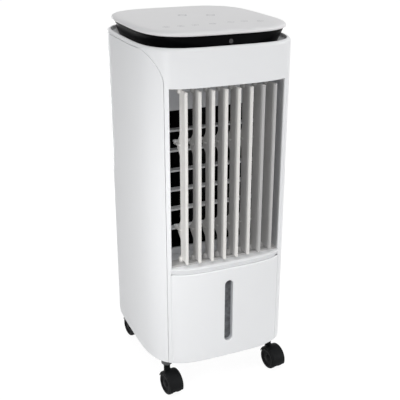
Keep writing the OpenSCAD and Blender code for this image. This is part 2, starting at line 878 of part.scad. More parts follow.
// Drip tray over the pad, with a spout for the hose and posts to the top deck
module water_distributor() {
    tray_bottom = pad_top + fit_gap;
    tray_h = 14;
    tray_wall = 2;
    drip_count = 15;
    drip_r = 1.2;
    spout_r = hose_r + 3;
    color([0.9, 0.9, 0.92])
        difference() {
            union() {
                block([-pad_half_w, pad_front_y, tray_bottom],
                      [pad_half_w, pad_rear_y, tray_bottom + tray_h]);
                post(hose_x, hose_y, tray_bottom, tray_bottom + tray_h, spout_r);
                block([hose_x - spout_r, hose_y, tray_bottom],
                      [hose_x + spout_r, pad_front_y + past, tray_bottom + tray_h]);
                for (sx = [-1, 1])
                    block([sx * (pad_half_w - 6) - 6, pad_rear_y - 6, tray_bottom],
                          [sx * (pad_half_w - 6) + 6, pad_rear_y, top_deck_z]);
            }
            block([-pad_half_w + tray_wall, pad_front_y + tray_wall, tray_bottom + tray_wall],
                  [pad_half_w - tray_wall, pad_rear_y - 6 - tray_wall, top_deck_z + past]);
            block([hose_x - hose_r, hose_y, tray_bottom + tray_h - 4],
                  [hose_x + hose_r, pad_front_y + 2 * tray_wall, tray_bottom + tray_h + past]);
            post(hose_x, hose_y, tray_bottom - past, tray_bottom + tray_h + past, hose_r + pin_clearance);
            for (i = [0 : drip_count - 1])
                post(10 * (i - (drip_count - 1) / 2), (pad_front_y + pad_rear_y) / 2,
                     tray_bottom - past, tray_bottom + tray_wall + past, drip_r);
        }
}

module pump_hose() {
    bore = hose_r - 1.2;
    color([0.8, 0.82, 0.85])
        difference() {
            post(hose_x, hose_y, pump_high[2], pad_top + 10, hose_r);
            post(hose_x, hose_y, pump_high[2] - past, pad_top + 10 + past, bore);
        }
}

// Submersible pump on a hanger under the middle deck
module water_pump() {
    slot_count = 5;
    slot_pitch = 7;
    color(black)
        difference() {
            union() {
                block(pump_low, pump_high);
                post(hanger_x, hanger_y, pump_high[2] - past, deck_z, hanger_r);
                post(hanger_x, hanger_y, deck_z - 3, deck_z, hanger_r + 5);
            }
            for (i = [0 : slot_count - 1])
                let (z = pump_low[2] + 6 + slot_pitch * i)
                block([pump_low[0] + 5, pump_low[1] - past, z], [pump_high[0] - 5, pump_low[1] + 3, z + 3]);
        }
}

face_bottom = tank_bottom - 2;
face_top = lower_panel_top - 12;
grip_half_w = 34;
grip_h = 28;
grip_top = face_top - 12;
grip_bottom = grip_top - grip_h;
grip_depth = 24;

// Drawer with its rear face flush in the rear frame and a finger pocket
module water_tank() {
    color([0.82, 0.84, 0.86])
        difference() {
            union() {
                translate([0, 0, tank_bottom])
                    linear_extrude(tank_top - tank_bottom)
                        tank_plan(0);
                intersection() {
                    wall_prism(face_bottom, face_top);
                    block([-tank_face_half_w, 0, 0], [tank_face_half_w, half_d + past, panel_top]);
                }
            }
            difference() {
                translate([0, 0, tank_bottom + tank_wall])
                    linear_extrude(tank_top)
                        tank_plan(tank_wall);
                block([-grip_half_w - tank_wall, half_d - grip_depth - tank_wall, grip_bottom - tank_wall],
                      [grip_half_w + tank_wall, half_d, grip_top + tank_wall]);
            }
            block([-grip_half_w, half_d - grip_depth, grip_bottom], [grip_half_w, half_d + past, grip_top]);
        }
}

module tank_plan(inset) {
    intersection() {
        body_outline(inset);
        translate([-tank_half_w + inset, -tank_front_y + inset])
            square([2 * (tank_half_w - inset), tank_front_y + half_d]);
    }
}

// Rear moulding round the inlet and the tank
module rear_frame() {
    color(white)
        difference() {
            intersection() {
                wall_prism(floor_gap, panel_top);
                block([-half_w, panel_edge_y + seam, 0], [half_w, half_d + past, panel_top]);
            }
            block([-inlet_half_w, 0, inlet_bottom], [inlet_half_w, half_d + past, inlet_top]);
            block([-tank_face_half_w - seam, 0, face_bottom - seam],
                  [tank_face_half_w + seam, half_d + past, face_top + seam]);
            translate([gland_x, 0, gland_z])
                rotate([-90, 0, 0])
                    cylinder(r = gland_r + pin_clearance, h = half_d + past);
            for (p = screw_places)
                translate([p[0], 0, p[1]])
                    rotate([-90, 0, 0])
                        cylinder(r = screw_r + pin_clearance, h = half_d + past);
        }
}

grille_gap = 0.6;

// Slotted inlet grille with a collar that holds the dust filter
module inlet_grille() {
    w = inlet_half_w - grille_gap;
    low = inlet_bottom + grille_gap;
    high = inlet_top - grille_gap;
    rib = 5;
    columns = 4;
    column_w = (2 * w - (columns + 1) * rib) / columns;
    rows = floor((high - low - 2 * rib) / grille_pitch);
    color(white)
        difference() {
            union() {
                intersection() {
                    wall_prism(low, high);
                    block([-w, 0, 0], [w, half_d + past, panel_top]);
                }
                intersection() {
                    difference() {
                        block([-w, filter_y, low], [w, half_d, high]);
                        block([-w + 2, 0, low + 2], [w - 2, half_d + past, high - 2]);
                    }
                    translate([0, 0, low])
                        linear_extrude(high - low)
                            body_outline(wall / 2);
                }
            }
            for (row = [0 : rows - 1])
                for (column = [0 : columns - 1])
                    let (x = -w + rib + column * (column_w + rib), z = low + rib + 2 + row * grille_pitch)
                    block([x, filter_y + 4, z], [x + column_w, half_d + past, z + grille_slot_h]);
        }
}

// Framed filter screen inside the grille's collar
module dust_filter() {
    w = inlet_half_w - grille_gap - 2 - fit_gap;
    low = inlet_bottom + grille_gap + 2 + fit_gap;
    high = inlet_top - grille_gap - 2 - fit_gap;
    border = 8;
    screen = 0.8;
    color(grey)
        union() {
            difference() {
                block([-w, filter_y, low], [w, filter_y + filter_t, high]);
                block([-w + border, filter_y - past, low + border],
                      [w - border, filter_y + filter_t + past, high - border]);
            }
            block([-w + border / 2, filter_y + 0.6, low + border / 2],
                  [w - border / 2, filter_y + 0.6 + screen, high - border / 2]);
        }
}

gland_x = half_w - 58;
gland_z = (face_top + inlet_bottom) / 2;
gland_r = 5;

// Bush in the rear frame for the mains lead
module cord_gland() {
    face = outline_y(gland_x, 0);
    bush_in = 10;
    flange_gap = 0.9;
    flange_t = 1.2;
    color(black)
        translate([gland_x, 0, gland_z])
            rotate([-90, 0, 0])
                difference() {
                    union() {
                        translate([0, 0, face - bush_in])
                            cylinder(r = gland_r, h = bush_in + flange_gap + flange_t / 2);
                        translate([0, 0, face + flange_gap])
                            cylinder(r = gland_r + 2, h = flange_t);
                    }
                    translate([0, 0, face - bush_in - past])
                        cylinder(r = gland_r - 1.6, h = bush_in + flange_gap + flange_t + 2 * past);
                }
}

screw_r = 1.7;
screw_high_x = half_w - 50;
screw_high_z = (inlet_top + panel_top) / 2;
screw_places = [[-screw_high_x, screw_high_z], [screw_high_x, screw_high_z], [-gland_x, gland_z]];

module rear_screws() {
    head_r = 3.2;
    head_h = 0.4;
    head_gap = 0.05;
    screw_in = 8;
    color(grey)
        for (p = screw_places)
            let (face = outline_y(p[0] > 0 ? p[0] - head_r : p[0] + head_r, 0))
            translate([p[0], 0, p[1]])
                rotate([-90, 0, 0]) {
                    translate([0, 0, face - screw_in])
                        cylinder(r = screw_r, h = screw_in + head_gap + head_h / 2);
                    translate([0, 0, face + head_gap])
                        cylinder(r = head_r, h = head_h);
                }
}

// Caster parts: each turns about its upright stem, with the wheels trailing to the front at rest
function caster_side(k) = (k % 2 == 1) ? -1 : 1;
function caster_end(k) = (k <= 2) ? -1 : 1;

washer_t = 1;

module caster_washers() {
    color([0.75, 0.76, 0.78])
        for (k = [1 : 4])
            translate([caster_side(k) * caster_x, caster_end(k) * caster_y, socket_bottom - washer_t])
                difference() {
                    cylinder(r = stem_r + 2.5, h = washer_t);
                    translate([0, 0, -past])
                        cylinder(r = stem_r + 0.4, h = washer_t + 2 * past);
                }
}

hood_gap = 0.6;
hood_t = 1.8;
web_half = 3;
axle_r = 2.5;

module at_caster(k) {
    translate([caster_side(k) * caster_x, caster_end(k) * caster_y, 0])
        rotate([0, 0, caster_rest_deg])
            children();
}

module across(x0, x1, r) {
    translate([x0, 0, 0])
        rotate([0, 90, 0])
            cylinder(r = r, h = x1 - x0);
}

// Fork: stem, flared neck, middle web and the hood over both wheels
module caster_fork(k) {
    hood_r = caster_wheel_r + hood_gap;
    hood_half = web_half + 0.5 + caster_wheel_w;
    neck_top = socket_bottom - washer_t - fit_gap;
    neck_bottom = 1.5 * caster_wheel_r;
    neck_r = stem_r + 0.2;
    flare_r = stem_r + 2;
    flare_h = 4;
    color(black)
        at_caster(k) {
            post(0, 0, neck_top - past, base_top + stem_in, stem_r);
            difference() {
                post(0, 0, neck_bottom, neck_top - past, neck_r);
                translate([0, -caster_trail, caster_wheel_r])
                    across(-hood_half, hood_half, hood_r + hood_t / 3);
            }
            translate([0, 0, neck_top - flare_h])
                cylinder(r1 = neck_r, r2 = flare_r, h = flare_h);
            translate([0, -caster_trail, caster_wheel_r])
                difference() {
                    union() {
                        across(-web_half, web_half, caster_wheel_r - 3);
                        intersection() {
                            difference() {
                                across(-hood_half, hood_half, hood_r + hood_t);
                                across(web_half, hood_half + past, hood_r);
                                across(-hood_half - past, -web_half, hood_r);
                            }
                            rotate([18, 0, 0])
                                block([-hood_half - past, -2 * hood_r, 0],
                                      [hood_half + past, 2 * hood_r, 2 * hood_r]);
                        }
                    }
                    across(-web_half - past, web_half + past, axle_r + pin_clearance);
                }
        }
}

// Two wheels with dished faces on one axle
module caster_wheels(k) {
    inner = web_half + 0.5;
    outer = inner + caster_wheel_w;
    dish_r = caster_wheel_r - 5;
    color(black)
        at_caster(k)
            translate([0, -caster_trail, caster_wheel_r]) {
                across(-outer + 2, outer - 2, axle_r);
                for (side = [0, 1])
                    mirror([side, 0, 0])
                        difference() {
                            union() {
                                across(inner, outer - 1.5, caster_wheel_r);
                                across(inner, outer, caster_wheel_r - 1.5);
                            }
                            difference() {
                                across(outer - 2, outer + past, dish_r);
                                across(outer - 3, outer, axle_r + 3);
                            }
                        }
            }
}

front_frame();
left_side_panel();
right_side_panel();
rear_frame();
lower_front_panel();
level_window();
base_pan();
mid_deck();
top_deck();
top_cover();
neck_band();
lid();
infrared_window();
control_board();
outlet_throat();
guard_slats();
louvre_top_rail();
louvre_bottom_rail();
swing_motor();
blower_casing();
blower_motor();
blower_wheel();
cooling_pad();
water_distributor();
pump_hose();
water_pump();
water_tank();
inlet_grille();
dust_filter();
cord_gland();
rear_screws();
caster_washers();
for (i = [1 : louvre_count]) {
    louvre(i);
}
link_bar_upper();
link_bar_lower();
for (k = [1 : 4]) {
    caster_fork(k);
    caster_wheels(k);
}
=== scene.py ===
"""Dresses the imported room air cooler: smooth mouldings, finishes, stage and camera."""

import json
import math

import bmesh
import bpy
import numpy as np
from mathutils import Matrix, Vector


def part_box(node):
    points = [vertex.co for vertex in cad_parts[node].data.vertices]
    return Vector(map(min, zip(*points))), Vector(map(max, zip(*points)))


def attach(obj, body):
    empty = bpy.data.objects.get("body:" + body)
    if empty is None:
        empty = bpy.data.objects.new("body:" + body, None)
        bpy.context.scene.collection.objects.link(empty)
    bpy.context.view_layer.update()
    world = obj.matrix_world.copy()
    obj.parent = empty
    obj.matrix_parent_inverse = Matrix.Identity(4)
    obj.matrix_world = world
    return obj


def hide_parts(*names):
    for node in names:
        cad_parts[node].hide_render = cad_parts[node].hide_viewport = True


bl_info = {
    "name": "Room air cooler",
    "version": (1, 0, 0),
    "blender": (4, 5, 0),
    "location": "View3D > Sidebar > Cooler",
    "description": "Builds the visible mouldings, finishes, stage and camera of a portable air cooler",
    "category": "Object",
}

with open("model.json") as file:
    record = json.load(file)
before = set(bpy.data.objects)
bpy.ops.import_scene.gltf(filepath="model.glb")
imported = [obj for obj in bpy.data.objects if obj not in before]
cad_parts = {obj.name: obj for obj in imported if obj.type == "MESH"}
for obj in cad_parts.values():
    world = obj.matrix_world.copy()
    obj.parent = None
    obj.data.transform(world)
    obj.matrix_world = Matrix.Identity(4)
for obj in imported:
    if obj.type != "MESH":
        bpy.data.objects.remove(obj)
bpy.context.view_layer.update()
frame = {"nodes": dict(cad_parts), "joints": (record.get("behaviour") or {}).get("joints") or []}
NODES = frame["nodes"]
JOINTS = {joint["name"]: joint for joint in frame["joints"]}
MM = 0.001


def low(node):
    """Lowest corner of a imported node."""
    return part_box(node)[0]


def high(node):
    """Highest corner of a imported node."""
    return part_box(node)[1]


def length(name, description, default):
    """A length in metres that a user may change."""
    return bpy.props.FloatProperty(name=name, description=description, default=float(default),
                                   unit="LENGTH", precision=5)


def colour(name, description, default):
    """A surface colour that a user may change."""
    return bpy.props.FloatVectorProperty(name=name, description=description, default=(*default, 1.0),
                                         subtype="COLOR", size=4, min=0.0, max=1.0)


class CoolerSizes(bpy.types.PropertyGroup):
    """Sizes of the mouldings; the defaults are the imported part's own."""

    half_width: length("Half width", "Half of the cabinet's width", high("right_side_panel").x)
    half_depth: length("Half depth", "Half of the cabinet's depth", -low("front_frame").y)
    squareness: bpy.props.FloatProperty(name="Squareness", default=4.0,
                                        description="Exponent of the cabinet's plan outline")
    bottom: length("Lower edge", "Height of the cabinet's lower edge", low("left_side_panel").z)
    panel_top: length("Panel top", "Height of the side panels' top edge", high("left_side_panel").z)
    panel_edge: length("Panel edge", "Distance of the side panels' edges from the middle",
                       -low("left_side_panel").y)
    corner: length("Panel corner", "Radius of the side panels' upper front corner", 45 * MM)
    seam: length("Seam", "Gap between two mouldings", 0.3 * MM)
    wall: length("Wall", "Thickness of the mouldings", 2.2 * MM)
    thin_wall: length("Thin wall", "Thickness of the front moulding and of the collars", 1.8 * MM)
    edge: length("Edge radius", "Rounding of the mouldings' edges", 0.6 * MM)
    opening_half: length("Opening half width", "Half of the air opening's width",
                         high("louvre_top_rail").x + 0.3 * MM)
    opening_low: length("Opening bottom", "Lower edge of the air opening", low("louvre_bottom_rail").z)
    opening_high: length("Opening top", "Upper edge of the air opening", high("louvre_top_rail").z)
    lower_half: length("Lower panel half width", "Half of the lower front panel's width",
                       high("lower_front_panel").x)
    lower_top: length("Lower panel top", "Top edge of the lower front panel", high("lower_front_panel").z)
    groove: length("Sill groove", "Depth of the leaning sill band at its lower edge", 3.0 * MM)
    lens_border: length("Window border", "Width of the lens that the panel covers", 2.4 * MM)
    lens_depth: length("Window depth", "Depth of the water-level window's floor", 9 * MM)
    rim_top: length("Rim top", "Height of the rim", high("top_cover").z)
    ledge: length("Ledge", "Height of the ledge inside the rim", low("neck_band").z)
    neck_side: length("Neck side inset", "Distance of the neck's foot from the sides", 13 * MM)
    neck_end: length("Neck end inset", "Distance of the neck's foot from front and rear", 7.5 * MM)
    neck_wall: length("Neck wall", "Thickness of the neck", 2.5 * MM)
    louvre_rest: bpy.props.FloatProperty(name="Louvre angle", default=math.radians(25), subtype="ANGLE",
                                         description="Angle of the blades at rest, towards the right")
    louvre_fan: bpy.props.FloatProperty(name="Louvre fan", default=math.radians(2), subtype="ANGLE",
                                        description="Extra angle of each blade over its left neighbour")
    blade_curve: length("Blade curve", "Radius of the blades' curved section", 40 * MM)
    blade_front: length("Blade front", "Length of the blade section in front of its pivot", 20 * MM)
    blade_rear: length("Blade rear", "Length of the blade section behind its pivot", 6.5 * MM)
    blade_half: length("Blade half thickness", "Half of the blades' thickness", 1.2 * MM)
    bead: length("Blade bead", "Radius of the bead along the blades' front edge", 2.5 * MM)
    blade_gap: length("Blade gap", "Distance of the blades from the opening's top and bottom", 6 * MM)
    rail_gap: length("Rail gap", "Distance of the hubs from the opening's top and bottom", 3.3 * MM)
    hub: length("Hub", "Radius of the hubs at the blades' ends", 4.5 * MM)
    pin: length("Pivot pin", "Radius of the blades' pivot pins", 2.5 * MM)
    lug_half: length("Lug half width", "Half of the crank lugs' width", 2.7 * MM)
    lug_height: length("Lug height", "Height of the crank lugs", 3 * MM)
    tank_wall: length("Tank wall", "Thickness of the tank's walls", 2.4 * MM)
    tank_half: length("Tank half width", "Half of the tank's width behind its face", 77 * MM)
    tank_rim: length("Tank rim", "Distance of the tank's rim under the top of its face", 5.5 * MM)
    grip_half: length("Grip half width", "Half of the finger pocket's width", 34 * MM)
    grip_height: length("Grip height", "Height of the finger pocket", 28 * MM)
    grip_gap: length("Grip gap", "Distance of the finger pocket from the top of the tank's face", 12 * MM)
    grip_depth: length("Grip depth", "Depth of the finger pocket", 23 * MM)
    castor_half: length("Castor half width", "Half of a castor's width over both wheels", 12 * MM)
    hood_gap: length("Hood gap", "Distance of the hood's face over the wheels", 2.4 * MM)
    hood_wall: length("Hood wall", "Thickness of the hood", 1.5 * MM)
    stem: length("Castor stem", "Radius of the castor stems", 5 * MM)


class CoolerFinishes(bpy.types.PropertyGroup):
    """Colours of the finishes."""

    shell: colour("Shell", "White outer mouldings", (0.845, 0.85, 0.86))
    lid: colour("Lid", "White lid", (0.80, 0.795, 0.80))
    inner: colour("Inner parts", "Light grey inner mouldings", (0.70, 0.71, 0.73))
    # Louvres: this grey paints the shade that each left neighbour casts on the blades' faces.
    louvre: colour("Louvres", "Light grey louvre blades", (0.50, 0.495, 0.49))
    # Blade edges: this white paints the light on the blades' lit front strips.
    bead: colour("Blade edges", "Warm white front edges of the blades", (0.80, 0.785, 0.76))
    neck: colour("Neck", "Black neck under the lid", (0.0025, 0.0025, 0.003))
    window: colour("Window", "Grey water-level lens", (0.16, 0.165, 0.175))
    caster: colour("Castors", "Black castor forks", (0.008, 0.0085, 0.009))
    fan: colour("Fan", "Black fan and casing", (0.005, 0.005, 0.006))
    pad: colour("Pad", "Brown evaporation pad", (0.33, 0.21, 0.11))
    tank: colour("Tank", "Pale tank", (0.78, 0.79, 0.80))
    marks: colour("Marks", "Grey print on the lid", (0.42, 0.42, 0.44))


# Plan curves and grids


def superellipse(a, b, n, angle):
    """x = a |cos t|^(2/n), y = b |sin t|^(2/n), each with the sign of its cosine or sine."""
    c, s = np.cos(angle), np.sin(angle)
    return a * np.sign(c) * np.abs(c) ** (2 / n), b * np.sign(s) * np.abs(s) ** (2 / n)


class PlanCurve:
    """Closed plan outline, walked from the rear middle past the left side, the front and the right
    side to the rear again. Each point knows its angle t and its length along the way."""

    def __init__(self, a, b, n, samples=768):
        share = np.linspace(0, 1, samples, endpoint=False)
        ease = share ** 2 * (3 - 2 * share)
        turn = np.append((np.arange(4)[:, None] + ease).ravel(), 4.0)
        self.a, self.b, self.n = a, b, n
        self.angle = (turn + 1) * math.pi / 2
        self.x, self.y = superellipse(a, b, n, self.angle)
        self.length = np.append(0, np.cumsum(np.hypot(np.diff(self.x), np.diff(self.y))))
        self.total = self.length[-1]
        self.quarter = samples

    def angle_at(self, along):
        return np.interp(np.mod(along, self.total), self.length, self.angle)

    def front(self, x):
        """Length where the front has this x."""
        part = slice(self.quarter, 3 * self.quarter + 1)
        return np.interp(x, self.x[part], self.length[part])

    def left(self, y):
        """Length where the left side has this y."""
        part = slice(0, 2 * self.quarter + 1)
        return np.interp(-np.asarray(y), -self.y[part], self.length[part])

    def right(self, y):
        """Length where the right side has this y."""
        return self.total - self.left(y)

    def depth(self, x):
        """Distance of the front from the middle plane at this x."""
        return self.b * (1 - np.abs(x / self.a) ** self.n) ** (1 / self.n)

    def points(self, along, z, inset=0.0):
        """Points at these lengths and heights, set in from the outline."""
        x, y = superellipse(self.a - inset, self.b - inset, self.n, self.angle_at(along))
        return spread(x, y, z)


def body_curve(sizes):
    return PlanCurve(sizes.half_width, sizes.half_depth, sizes.squareness)


def grid_faces(rows, columns, wrap_columns=False, wrap_rows=False, keep=None):
    """Corners of a grid's cells: each cell joins a point to its next column, the next row's next
    column and the next row, which faces outwards when columns run round and rows run up."""
    r = np.arange(rows if wrap_rows else rows - 1)[:, None]
    c = np.arange(columns if wrap_columns else columns - 1)[None, :]
    up, on = (r + 1) % rows, (c + 1) % columns
    corners = [r * columns + c, r * columns + on, up * columns + on, up * columns + c]
    cells = np.stack(np.broadcast_arrays(*corners), -1)
    return cells[keep] if keep is not None else cells.reshape(-1, 4)


def spread(x, y, z):
    """Points of a grid from three arrays that spread over one another."""
    return np.stack(np.broadcast_arrays(x, y, z), -1)


def round_grid(points):
    """Points of a grid whose columns run round, with its faces."""
    return points, grid_faces(*points.shape[:2], wrap_columns=True)


def put_piece(name, patches):
    """One smooth mesh at the origin from (points, faces) patches, welded where they meet."""
    points, faces, start = [], [], 0
    for patch, cells in patches:
        flat = patch.reshape(-1, 3)
        points.append(flat)
        faces.append(cells + start)
        start += len(flat)
    mesh = bpy.data.meshes.new(name)
    mesh.from_pydata(np.concatenate(points).tolist(), [], np.concatenate(faces).tolist())
    work = bmesh.new()
    work.from_mesh(mesh)
    bmesh.ops.remove_doubles(work, verts=work.verts, dist=2e-6)
    bmesh.ops.dissolve_degenerate(work, dist=1e-7, edges=work.edges)
    work.to_mesh(mesh)
    work.free()
    mesh.polygons.foreach_set("use_smooth", np.ones(len(mesh.polygons), bool))
    mesh.update()
    piece = bpy.data.objects.new(name, mesh)
    bpy.context.scene.collection.objects.link(piece)
    return piece


def thicken(piece, wall):
    """Gives a skin its wall, inwards from the visible face."""
    solid = piece.modifiers.new("wall", "SOLIDIFY")
    solid.thickness = wall
    solid.offset = -1
    solid.use_even_offset = True


def round_edges(piece, radius, segments=3, angle=40):
    """Rounds the edges that turn by more than an angle."""
    bevel = piece.modifiers.new("edges", "BEVEL")
    bevel.width = radius
    bevel.segments = segments
    bevel.limit_method = "ANGLE"
    bevel.angle_limit = math.radians(angle)
    bevel.use_clamp_overlap = False
    bevel.harden_normals = True


def add_piece(name, patches, body, finish, slot, *nodes, wall=0.0, edge=0.0, segments=3):
    """Piece from patches, with a wall and round edges where they are asked for, that rides on a body,
    stands for nodes and takes a finish."""
    piece = put_piece(name, patches)
    if wall:
        thicken(piece, wall)
    if edge:
        round_edges(piece, edge, segments)
    piece.data.materials.append(finish)
    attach(piece, body)
    if nodes:
        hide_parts(*nodes)
    return piece


def paint(material, *names):
    """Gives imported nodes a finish."""
    for name in names:
        NODES[name].data.materials.clear()
        NODES[name].data.materials.append(material)


# Finishes


def feed(tree, node, inputs):
    """Sets a node's inputs: another node's output is linked, and any other value is set."""
    for socket, value in inputs.items():
        if isinstance(value, bpy.types.NodeSocket):
            tree.links.new(value, node.inputs[socket])
        else:
            node.inputs[socket].default_value = value


def add_node(tree, kind, inputs=None, **settings):
    """New shader node with its settings and inputs."""
    node = tree.nodes.new("ShaderNode" + kind)
    for name, value in settings.items():
        setattr(node, name, value)
    feed(tree, node, inputs or {})
    return node


def calculate(tree, operation, *values):
    """Output of a math node."""
    return add_node(tree, "Math", dict(enumerate(values)), operation=operation).outputs[0]


def object_place(tree):
    """Output with the object coordinates."""
    return add_node(tree, "TexCoord").outputs["Object"]


def bump(tree, height, strength, distance):
    """Output with the normal that a height gives."""
    inputs = {"Height": height, "Strength": strength, "Distance": distance}
    return add_node(tree, "Bump", inputs).outputs["Normal"]


def noise(tree, place, scale, detail):
    """Output of a noise at a place."""
    return add_node(tree, "TexNoise", {"Vector": place, "Scale": scale, "Detail": detail}).outputs["Fac"]


def start_material(name):
    """New node material and its shader."""
    material = bpy.data.materials.new(name)
    material.use_nodes = True
    return material, material.node_tree, material.node_tree.nodes["Principled BSDF"]


def moulded_skin_group():
    """Moulded plastic: the base colour drifts a little with a broad noise, roughness drifts with a
    middle noise, and a fine noise gives the height of the grain."""
    if "moulded_skin" in bpy.data.node_groups:
        return bpy.data.node_groups["moulded_skin"]
    group = bpy.data.node_groups.new("moulded_skin", "ShaderNodeTree")
    sockets = {"INPUT": {"Vector": "Vector", "Base": "Color", "Drift": "Float", "Roughness": "Float",
                         "Drift Scale": "Float", "Grain Scale": "Float"},
               "OUTPUT": {"Color": "Color", "Roughness": "Float", "Height": "Float"}}
    for side, labels in sockets.items():
        for label, kind in labels.items():
            group.interface.new_socket(name=label, in_out=side, socket_type="NodeSocket" + kind)
    put = group.nodes.new("NodeGroupInput").outputs
    noises = ((put["Drift Scale"], 2.0), (70.0, 3.0), (put["Grain Scale"], 2.0))
    broad, middle, fine = (noise(group, put["Vector"], scale, detail) for scale, detail in noises)
    drift = calculate(group, "MULTIPLY_ADD", calculate(group, "SUBTRACT", broad, 0.5), put["Drift"], 1.0)
    tone = add_node(group, "VectorMath", {0: put["Base"], "Scale": drift}, operation="SCALE")
    rough = calculate(group, "MULTIPLY_ADD", middle, 0.12, put["Roughness"])
    feed(group, group.nodes.new("NodeGroupOutput"),
         {"Color": tone.outputs[0], "Roughness": rough, "Height": fine})
    return group


# Moulded finishes: a colour of CoolerFinishes or a fixed colour, the roughness, and what else differs
SHELL = ("shell", 0.38, {"drift": 0.012, "grain": 0.06, "specular": 0.3})
LOUVRE = ("louvre", 0.4, {"grain": 0.1, "specular": 0.3})
MOULDED = {
    "shell_white": SHELL,
    "base_white": SHELL,
    "lid_white": ("lid", 0.42, {"drift": 0.02, "grain": 0.08}),
    "inner_grey": ("inner", 0.5, {"drift": 0.05, "grain_scale": 600.0, "grain": 0.2}),
    "louvre_white": LOUVRE,
    # The blades' finish: the louvre grey paints their shade, and a second tone paints the lit strip along the
    # front edge.
    "blade_white": LOUVRE,
    "neck_black": ("neck", 0.3, {"drift": 0.2, "grain": 0.05, "specular": 0.02}),
    "caster_black": ("caster", 0.45, {"drift": 0.25, "grain_scale": 1400.0, "grain": 0.35, "specular": 0.06}),
    "tread_black": ("caster", 0.55, {"drift": 0.3, "grain_scale": 2200.0, "grain": 0.5, "specular": 0.06}),
    "fan_black": ("fan", 0.55, {"drift": 0.2, "specular": 0.05}),
    "tank_pale": ("tank", 0.3, {"grain": 0.08, "coat": 0.1}),
    "bush_black": ((0.012, 0.012, 0.013, 1), 0.65,
                   {"drift": 0.2, "grain_scale": 1600.0, "grain": 0.4, "specular": 0.3}),
    "board_green": ((0.03, 0.17, 0.075, 1), 0.4, {"drift": 0.2, "grain_scale": 400.0, "grain": 0.2}),
    "hose_clear": ((0.55, 0.58, 0.6, 1), 0.25, {"drift": 0.06}),
    "lens_grey": ("window", 0.35,
                  {"drift": 1.6, "grain_scale": 120.0, "grain": 0.1, "specular": 0.2, "mottle": 150.0}),
    "infrared_dark": ((0.02, 0.017, 0.019, 1), 0.15, {"drift": 0.2, "specular": 0.35}),
    "mark_grey": ("marks", 0.5, {"drift": 0.15}),
}
PLAIN = {"drift": 0.03, "grain_scale": 900.0, "grain": 0.15, "specular": 0.5, "coat": 0.0, "mottle": 9.0}


def finishes():
    return bpy.context.scene.cooler_finishes


def moulded(name):
    """Moulded plastic finish from the table, made once with the shared skin group."""
    if name in bpy.data.materials:
        return bpy.data.materials[name]
    base, roughness, rest = MOULDED[name]
    look = {**PLAIN, **rest}
    material, tree, shader = start_material(name)
    skin = add_node(tree, "Group", {
        "Vector": object_place(tree),
        "Base": tuple(getattr(finishes(), base) if isinstance(base, str) else base),
        "Drift": look["drift"], "Roughness": roughness - 0.06,
        "Drift Scale": look["mottle"], "Grain Scale": look["grain_scale"]}, node_tree=moulded_skin_group())
    feed(tree, shader, {
        "Base Color": skin.outputs["Color"], "Roughness": skin.outputs["Roughness"],
        "Normal": bump(tree, skin.outputs["Height"], look["grain"], 0.1 * MM),
        "Specular IOR Level": look["specular"], "Coat Weight": look["coat"]})
    return material


def second_tone(material, value, operation, level, tone):
    """The material takes another colour where a value is over or under a level."""
    tree = material.node_tree
    base = tree.nodes["Principled BSDF"].inputs["Base Color"]
    mix = add_node(tree, "Mix", {"A": base.links[0].from_socket, "B": tone,
                                 "Factor": calculate(tree, operation, value, level)}, data_type="RGBA")
    tree.links.new(mix.outputs["Result"], base)
    return material


def coordinate(material, axis):
    """Output with one object coordinate."""
    tree = material.node_tree
    return add_node(tree, "SeparateXYZ", {0: object_place(tree)}).outputs[axis]


def blade_white():
    """Louvre finish whose grey paints the shade on the blades' faces, with a whiter strip along the front
    edge that paints the light falling there, where the mesh's bead value is over a half.
    """
    if "blade_white" in bpy.data.materials:
        return bpy.data.materials["blade_white"]
    blade = moulded("blade_white")
    bead = add_node(blade.node_tree, "Attribute", attribute_name="bead")
    return second_tone(blade, bead.outputs["Fac"], "GREATER_THAN", 0.5, tuple(finishes().bead))


def lens_grey(floor):
    """Mottled grey floor of the sunk window, with pale walls in front of it."""
    lens = moulded("lens_grey")
    return second_tone(lens, coordinate(lens, "Y"), "LESS_THAN", floor - 0.4 * MM, (0.42, 0.43, 0.45, 1))


def base_white(bottom):
    """Shell finish of the base, with grey castor sockets under the cabinet's lower edge."""
    base = moulded("base_white")
    return second_tone(base, coordinate(base, "Z"), "LESS_THAN", bottom - 0.5 * MM, (0.10, 0.10, 0.105, 1))


def brushed(name, base, roughness):
    """Plated or sheet metal: a noise drawn out along Z shades the metal and its roughness."""
    material, tree, shader = start_material(name)
    stretch = add_node(tree, "Mapping", {"Vector": object_place(tree), "Scale": (900.0, 900.0, 40.0)})
    height = noise(tree, stretch.outputs["Vector"], 1.0, 4.0)
    ramp = add_node(tree, "ValToRGB", {"Fac": height})
    for element, share in zip(ramp.color_ramp.elements, (0.75, 1.0)):
        element.color = (*(share * c for c in base), 1)
    rough = add_node(tree, "MapRange",
                     {"Value": height, "To Min": roughness - 0.08, "To Max": roughness + 0.1})
    feed(tree, shader, {"Base Color": ramp.outputs["Color"], "Roughness": rough.outputs["Result"],
                        "Normal": bump(tree, height, 0.15, 0.05 * MM), "Metallic": 1.0})
    return material


def waved(name, first, second, scale, roughness, depth):
    """Fibre sheet or screen: waves along X and along Z, bent a little by their own noise, mix two
    colours and give the height."""
    material, tree, shader = start_material(name)
    place = object_place(tree)
    waves = [add_node(tree, "TexWave", {"Vector": place, "Scale": scale, "Distortion": 1.5},
                      bands_direction=axis).outputs["Fac"] for axis in "XZ"]
    both = calculate(tree, "MULTIPLY", *waves)
    mix = add_node(tree, "Mix", {"A": tuple(first), "B": tuple(second), "Factor": both}, data_type="RGBA")
    feed(tree, shader, {"Base Color": mix.outputs["Result"], "Normal": bump(tree, both, 0.5, depth),
                        "Roughness": roughness})
    return material


# Operators


